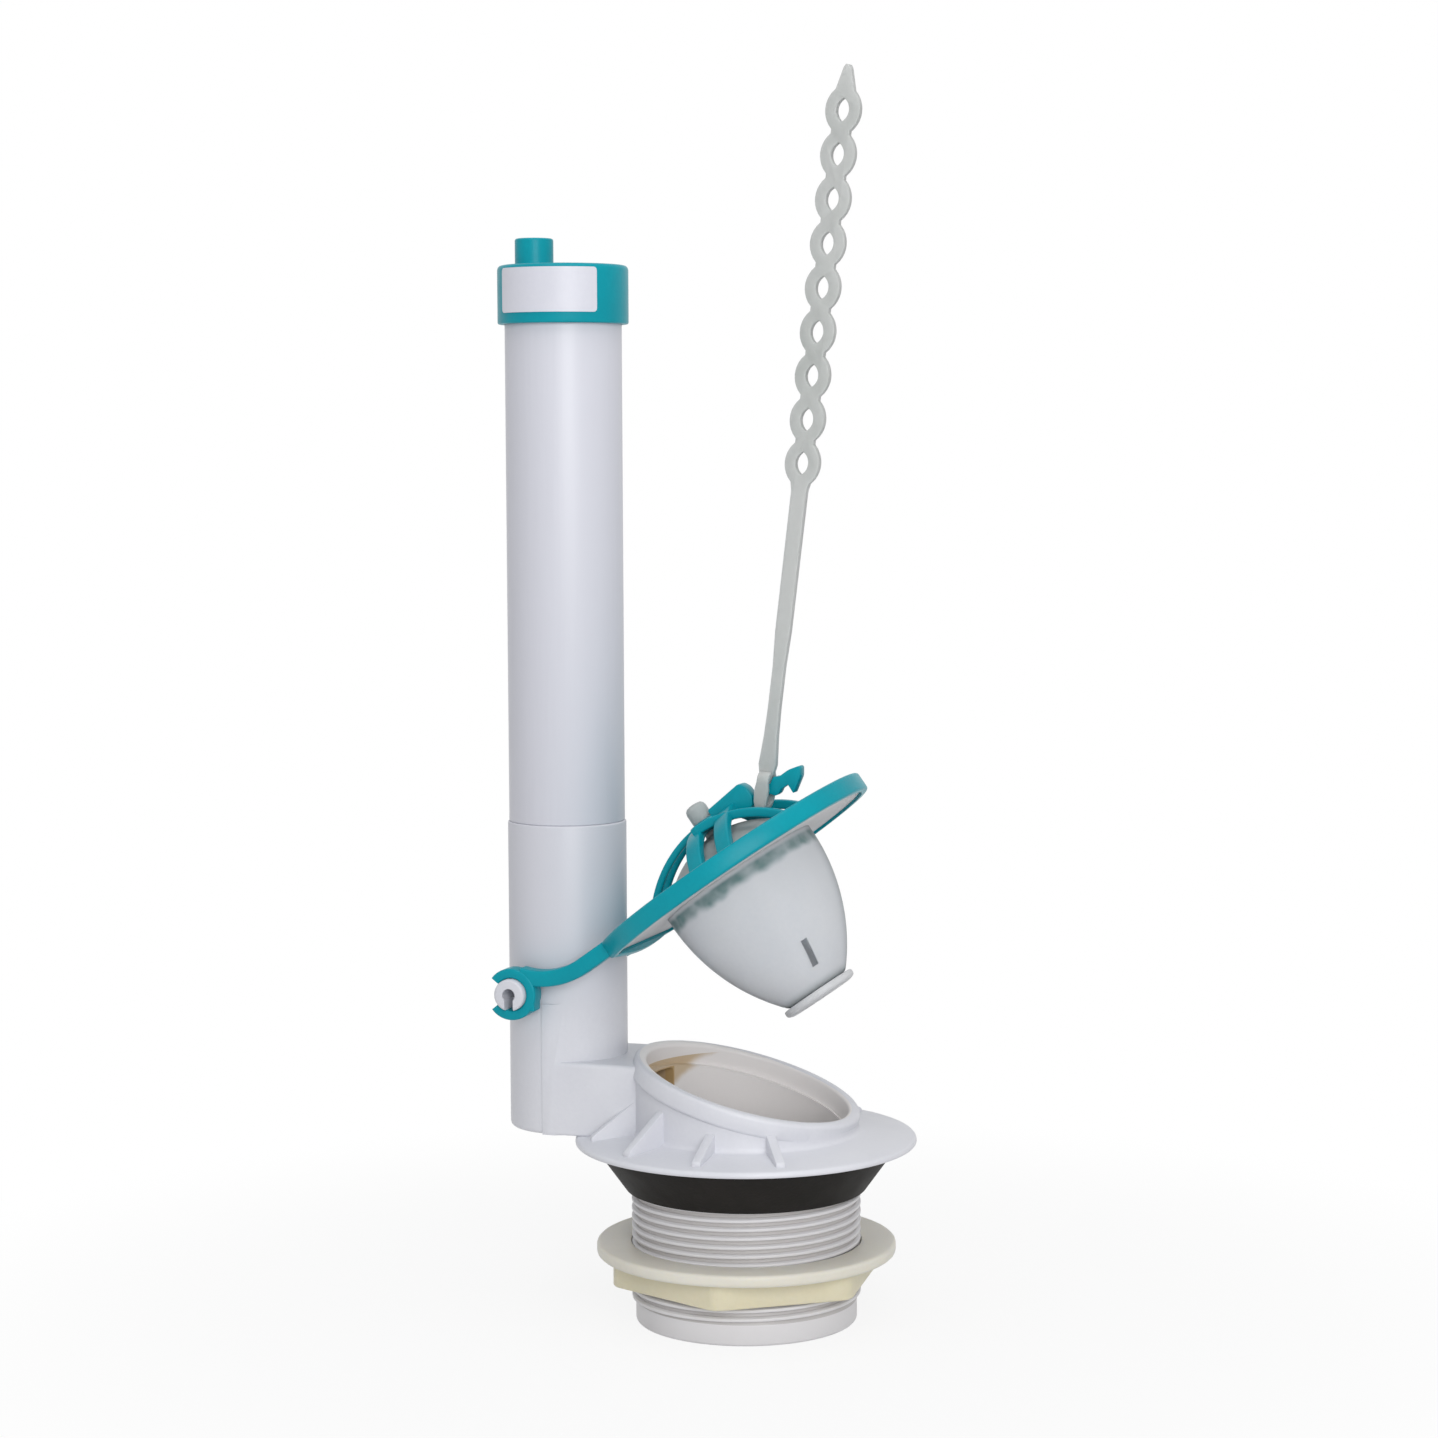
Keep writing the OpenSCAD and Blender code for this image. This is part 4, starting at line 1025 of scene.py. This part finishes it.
def float_cone():
    """Frosted cup that tapers to the dial, with a bleed slot in its side."""
    steps, depth = 24, FLOAT_H + SEAL_LOW
    outer = [(float_r(depth * i / steps), SEAL_LOW - depth * i / steps) for i in range(steps)]
    inner = [(r - FLOAT_WALL, s) for r, s in reversed(outer) if s > FLOAT_WALL - FLOAT_H]
    hole_r, floor_top = SPINDLE_R + SPINDLE_GAP, FLOAT_WALL - FLOAT_H
    shell = turned((*outer, (float_r(depth), -FLOAT_H, 0.9), (hole_r, -FLOAT_H), (hole_r, floor_top),
                    (float_r(depth - FLOAT_WALL) - FLOAT_WALL, floor_top), *inner))
    low, high = BLEED_RISE - FLOAT_H, BLEED_RISE - FLOAT_H + BLEED_LEN
    slot = side_prism(((SPINDLE_R, low, 0.8), (FLOAT_R, low, 0.8), (FLOAT_R, high, 0.8),
                       (SPINDLE_R, high, 0.8)), BLEED_W)
    return carved(shell, (), [moved(slot, Matrix.Rotation(BLEED_ANGLE, 4, "Z"))])


def dial():
    """Disc under the float, on a spindle with a retaining rim."""
    top = -FLOAT_H - DIAL_GAP
    rim = FLOAT_WALL - FLOAT_H + DIAL_GAP
    low, rim_r = top - DIAL_T, SPINDLE_R + 1
    return turned(((0, low), (DIAL_R - 1.6, low, 0.4), (DIAL_R, low + 0.6, 0.5), (DIAL_R, top, 0.5),
                   (SPINDLE_R, top), (SPINDLE_R, rim), (rim_r, rim, 0.2), (rim_r, rim + 1, 0.4),
                   (0, rim + 1)), DIAL_STEPS)


piece("seal_ring", seal(), "flapper", "flapper_seal", SILICONE, FLAPPER)
piece("air_dome_shell", air_dome(), "flapper", "air_dome", DOME_SHADED_PLASTIC, FLAPPER)
piece("float_shell", float_cone(), "flapper", "float_cone", FLOAT_PLASTIC, FLAPPER)
piece("dial_disc", dial(), "dial", "bleed_dial", SILICONE, FLAPPER)


# Pull strap

def lens_half(width, length, along):
    """Half width of a lens between two arcs, at a distance from its middle."""
    radius = (width ** 2 + length ** 2) / (4 * width)
    return math.sqrt(radius ** 2 - along ** 2) - radius + width / 2


def strap_edge():
    """Right edge of the strap from its foot to its tip, as (half width, height)."""
    last = EYELET_START + (EYELETS - 1) * EYELET_PITCH
    tip = last + TIP_LEN
    points = [*STEM_EDGE]
    steps = 5
    for i in range(EYELETS):
        middle = EYELET_START + i * EYELET_PITCH
        for k in range(-steps, steps + 1):
            along = EYELET_PITCH / 2 * EYELET_SHARE * k / steps
            half = max(lens_half(EYELET_W, EYELET_LEN, along), NECK_HALF)
            points.append((half, middle + along))
    return [*points, (TIP_W / 2, tip - TIP_W / 2), (TIP_W / 4, tip)]


def strap_loop():
    """Closed loop round the hook, rounded at its foot."""
    wide, low, top = LOOP_HOLE_W / 2 + LOOP_BAND, LOOP_HOLE_LOW - LOOP_BAND, STEM_LOW + LOOP_BAND
    hole = LOOP_HOLE_W / 2
    band = prism(((-wide, low, 1.5), (wide, low, 1.5), (wide, top, 2.2), (-wide, top, 2.2)),
                 -LOOP_T / 2, LOOP_T / 2)
    eye = prism(((-hole, LOOP_HOLE_LOW, 0.8), (hole, LOOP_HOLE_LOW, 0.8), (hole, LOOP_HOLE_TOP, 1.0),
                 (-hole, LOOP_HOLE_TOP, 1.0)), -LOOP_T, LOOP_T)
    loop = moved(carved(band, (), [eye]), FACING_X)
    sides = []
    for side in (-1, 1):
        corners = [(side * x, z) for x, z in LOOP_SIDE]
        corners += [(side * LOOP_T, LOOP_SIDE[-1][1]), (side * LOOP_T, LOOP_SIDE[0][1] - 2),
                    (side * LOOP_SIDE[0][0], LOOP_SIDE[0][1] - 2)]
        sides.append(side_prism(corners, 4 * wide))
    return soften(carved(loop, (), sides), 0.3)


def pull_strap():
    """Stem, ladder of eyelets and tip, cut from one sheet with soft edges."""
    edge = strap_edge()
    flat = prism([*edge, *((-x, z) for x, z in reversed(edge))], -STRAP_T / 2, STRAP_T / 2)
    eyes = []
    for i in range(EYELETS):
        middle, steps = EYELET_START + i * EYELET_PITCH, 6
        half = [(lens_half(EYE_W, EYE_LEN, EYE_LEN / 2 * k / steps), middle + EYE_LEN / 2 * k / steps)
                for k in range(-steps, steps + 1)]
        eyes.append(prism([*half, *((-x, z) for x, z in reversed(half[1:-1]))], -STRAP_T, STRAP_T))
    ladder = moved(soften(carved(flat, (), eyes), 0.4), UPRIGHT)
    return carved(ladder, [strap_loop()])


piece("strap_ladder", pull_strap(), "strap", "pull_strap", STRAP_PLASTIC, STRAP)


# Studio

CAMERA_AZIMUTH = math.radians(17.879)
CAMERA_PITCH = math.radians(5.024)
CAMERA_ROLL = math.radians(-0.194)
CAMERA_AWAY = 0.8281
CAMERA_HEIGHT = 0.2294
CAMERA_LENS = 80.98
CAMERA_SHIFT = -0.01783
SENSOR_W = 36
FLOOR_SIZE = 6
FLOOR_GLOW = 0.86
FLOOR_SHADE_R = 60
FLOOR_WHITE_R = 260
SKY_LIGHT = 0.47


def camera():
    """Camera at the photograph's viewing angle."""
    data = bpy.data.cameras.new("camera")
    data.sensor_width = SENSOR_W
    data.lens = CAMERA_LENS
    data.shift_x = CAMERA_SHIFT
    made = bpy.data.objects.new("camera", data)
    bpy.context.scene.collection.objects.link(made)
    place = Vector((CAMERA_AWAY * math.sin(CAMERA_AZIMUTH), -CAMERA_AWAY * math.cos(CAMERA_AZIMUTH),
                    CAMERA_HEIGHT))
    turn = (Matrix.Rotation(CAMERA_AZIMUTH, 4, "Z") @ Matrix.Rotation(math.pi / 2 - CAMERA_PITCH, 4, "X")
            @ Matrix.Rotation(CAMERA_ROLL, 4, "Z"))
    made.matrix_world = Matrix.Translation(place) @ turn
    bpy.context.scene.camera = made


def soft_box(name, place, target, size, power):
    """Large square light aimed at a point."""
    data = bpy.data.lights.new(name, "AREA")
    data.shape = "SQUARE"
    data.size = size
    data.energy = power
    made = bpy.data.objects.new(name, data)
    bpy.context.scene.collection.objects.link(made)
    made.location = place
    made.rotation_mode = "QUATERNION"
    made.rotation_quaternion = (Vector(target) - Vector(place)).to_track_quat("-Z", "Y")


def floor():
    """Pale floor that keeps the part's soft shadow and fades to white away from it."""
    bm = bmesh.new()
    bmesh.ops.create_grid(bm, x_segments=1, y_segments=1, size=FLOOR_SIZE)
    mesh = bpy.data.meshes.new("floor")
    bm.to_mesh(mesh)
    bm.free()
    made = bpy.data.objects.new("floor", mesh)
    bpy.context.scene.collection.objects.link(made)
    finish = Nodes(bpy.data.materials.new("pale_floor"))
    x, y, _ = finish.axes()
    away = finish.ramp(x * x + y * y, FLOOR_SHADE_R ** 2, FLOOR_WHITE_R ** 2)
    glow = finish.node("ShaderNodeEmission", None, {"Color": (1, 1, 1, 1), "Strength": 1.0})
    tint = finish.mix(finish.grain(3, 2), (0.8, 0.8, 0.8, 1), (0.78, 0.78, 0.785, 1))
    finish.shader({"Base Color": tint, "Roughness": 0.9})
    shaded = Value(finish, finish.tree.nodes["Principled BSDF"].outputs[0])
    white = finish.seen() * (FLOOR_GLOW + (1 - FLOOR_GLOW) * away)
    mixed = finish.node("ShaderNodeMixShader", None, {0: white, 1: shaded, 2: glow})
    finish.plug(finish.tree.nodes["Material Output"].inputs["Surface"], mixed)
    mesh.materials.append(finish.owner)


def world():
    """White surroundings for the eye, and an even soft light for the part."""
    bpy.context.scene.world = bpy.data.worlds.new("studio")
    sky = Nodes(bpy.context.scene.world)
    background = sky.tree.nodes["Background"]
    sky.plug(background.inputs["Color"], (1, 1, 1, 1))
    sky.plug(background.inputs["Strength"], SKY_LIGHT + sky.seen() * (1 - SKY_LIGHT))


camera()
soft_box("key_light", place=(0.55, -1.03, 0.48), target=(-0.02, 0, 0.14), size=0.6, power=6.8)
soft_box("top_light", place=(0.1, -0.25, 1.1), target=(0, 0, 0.13), size=0.8, power=3.7)
floor()
world()
bpy.context.scene.view_settings.view_transform = "Standard"
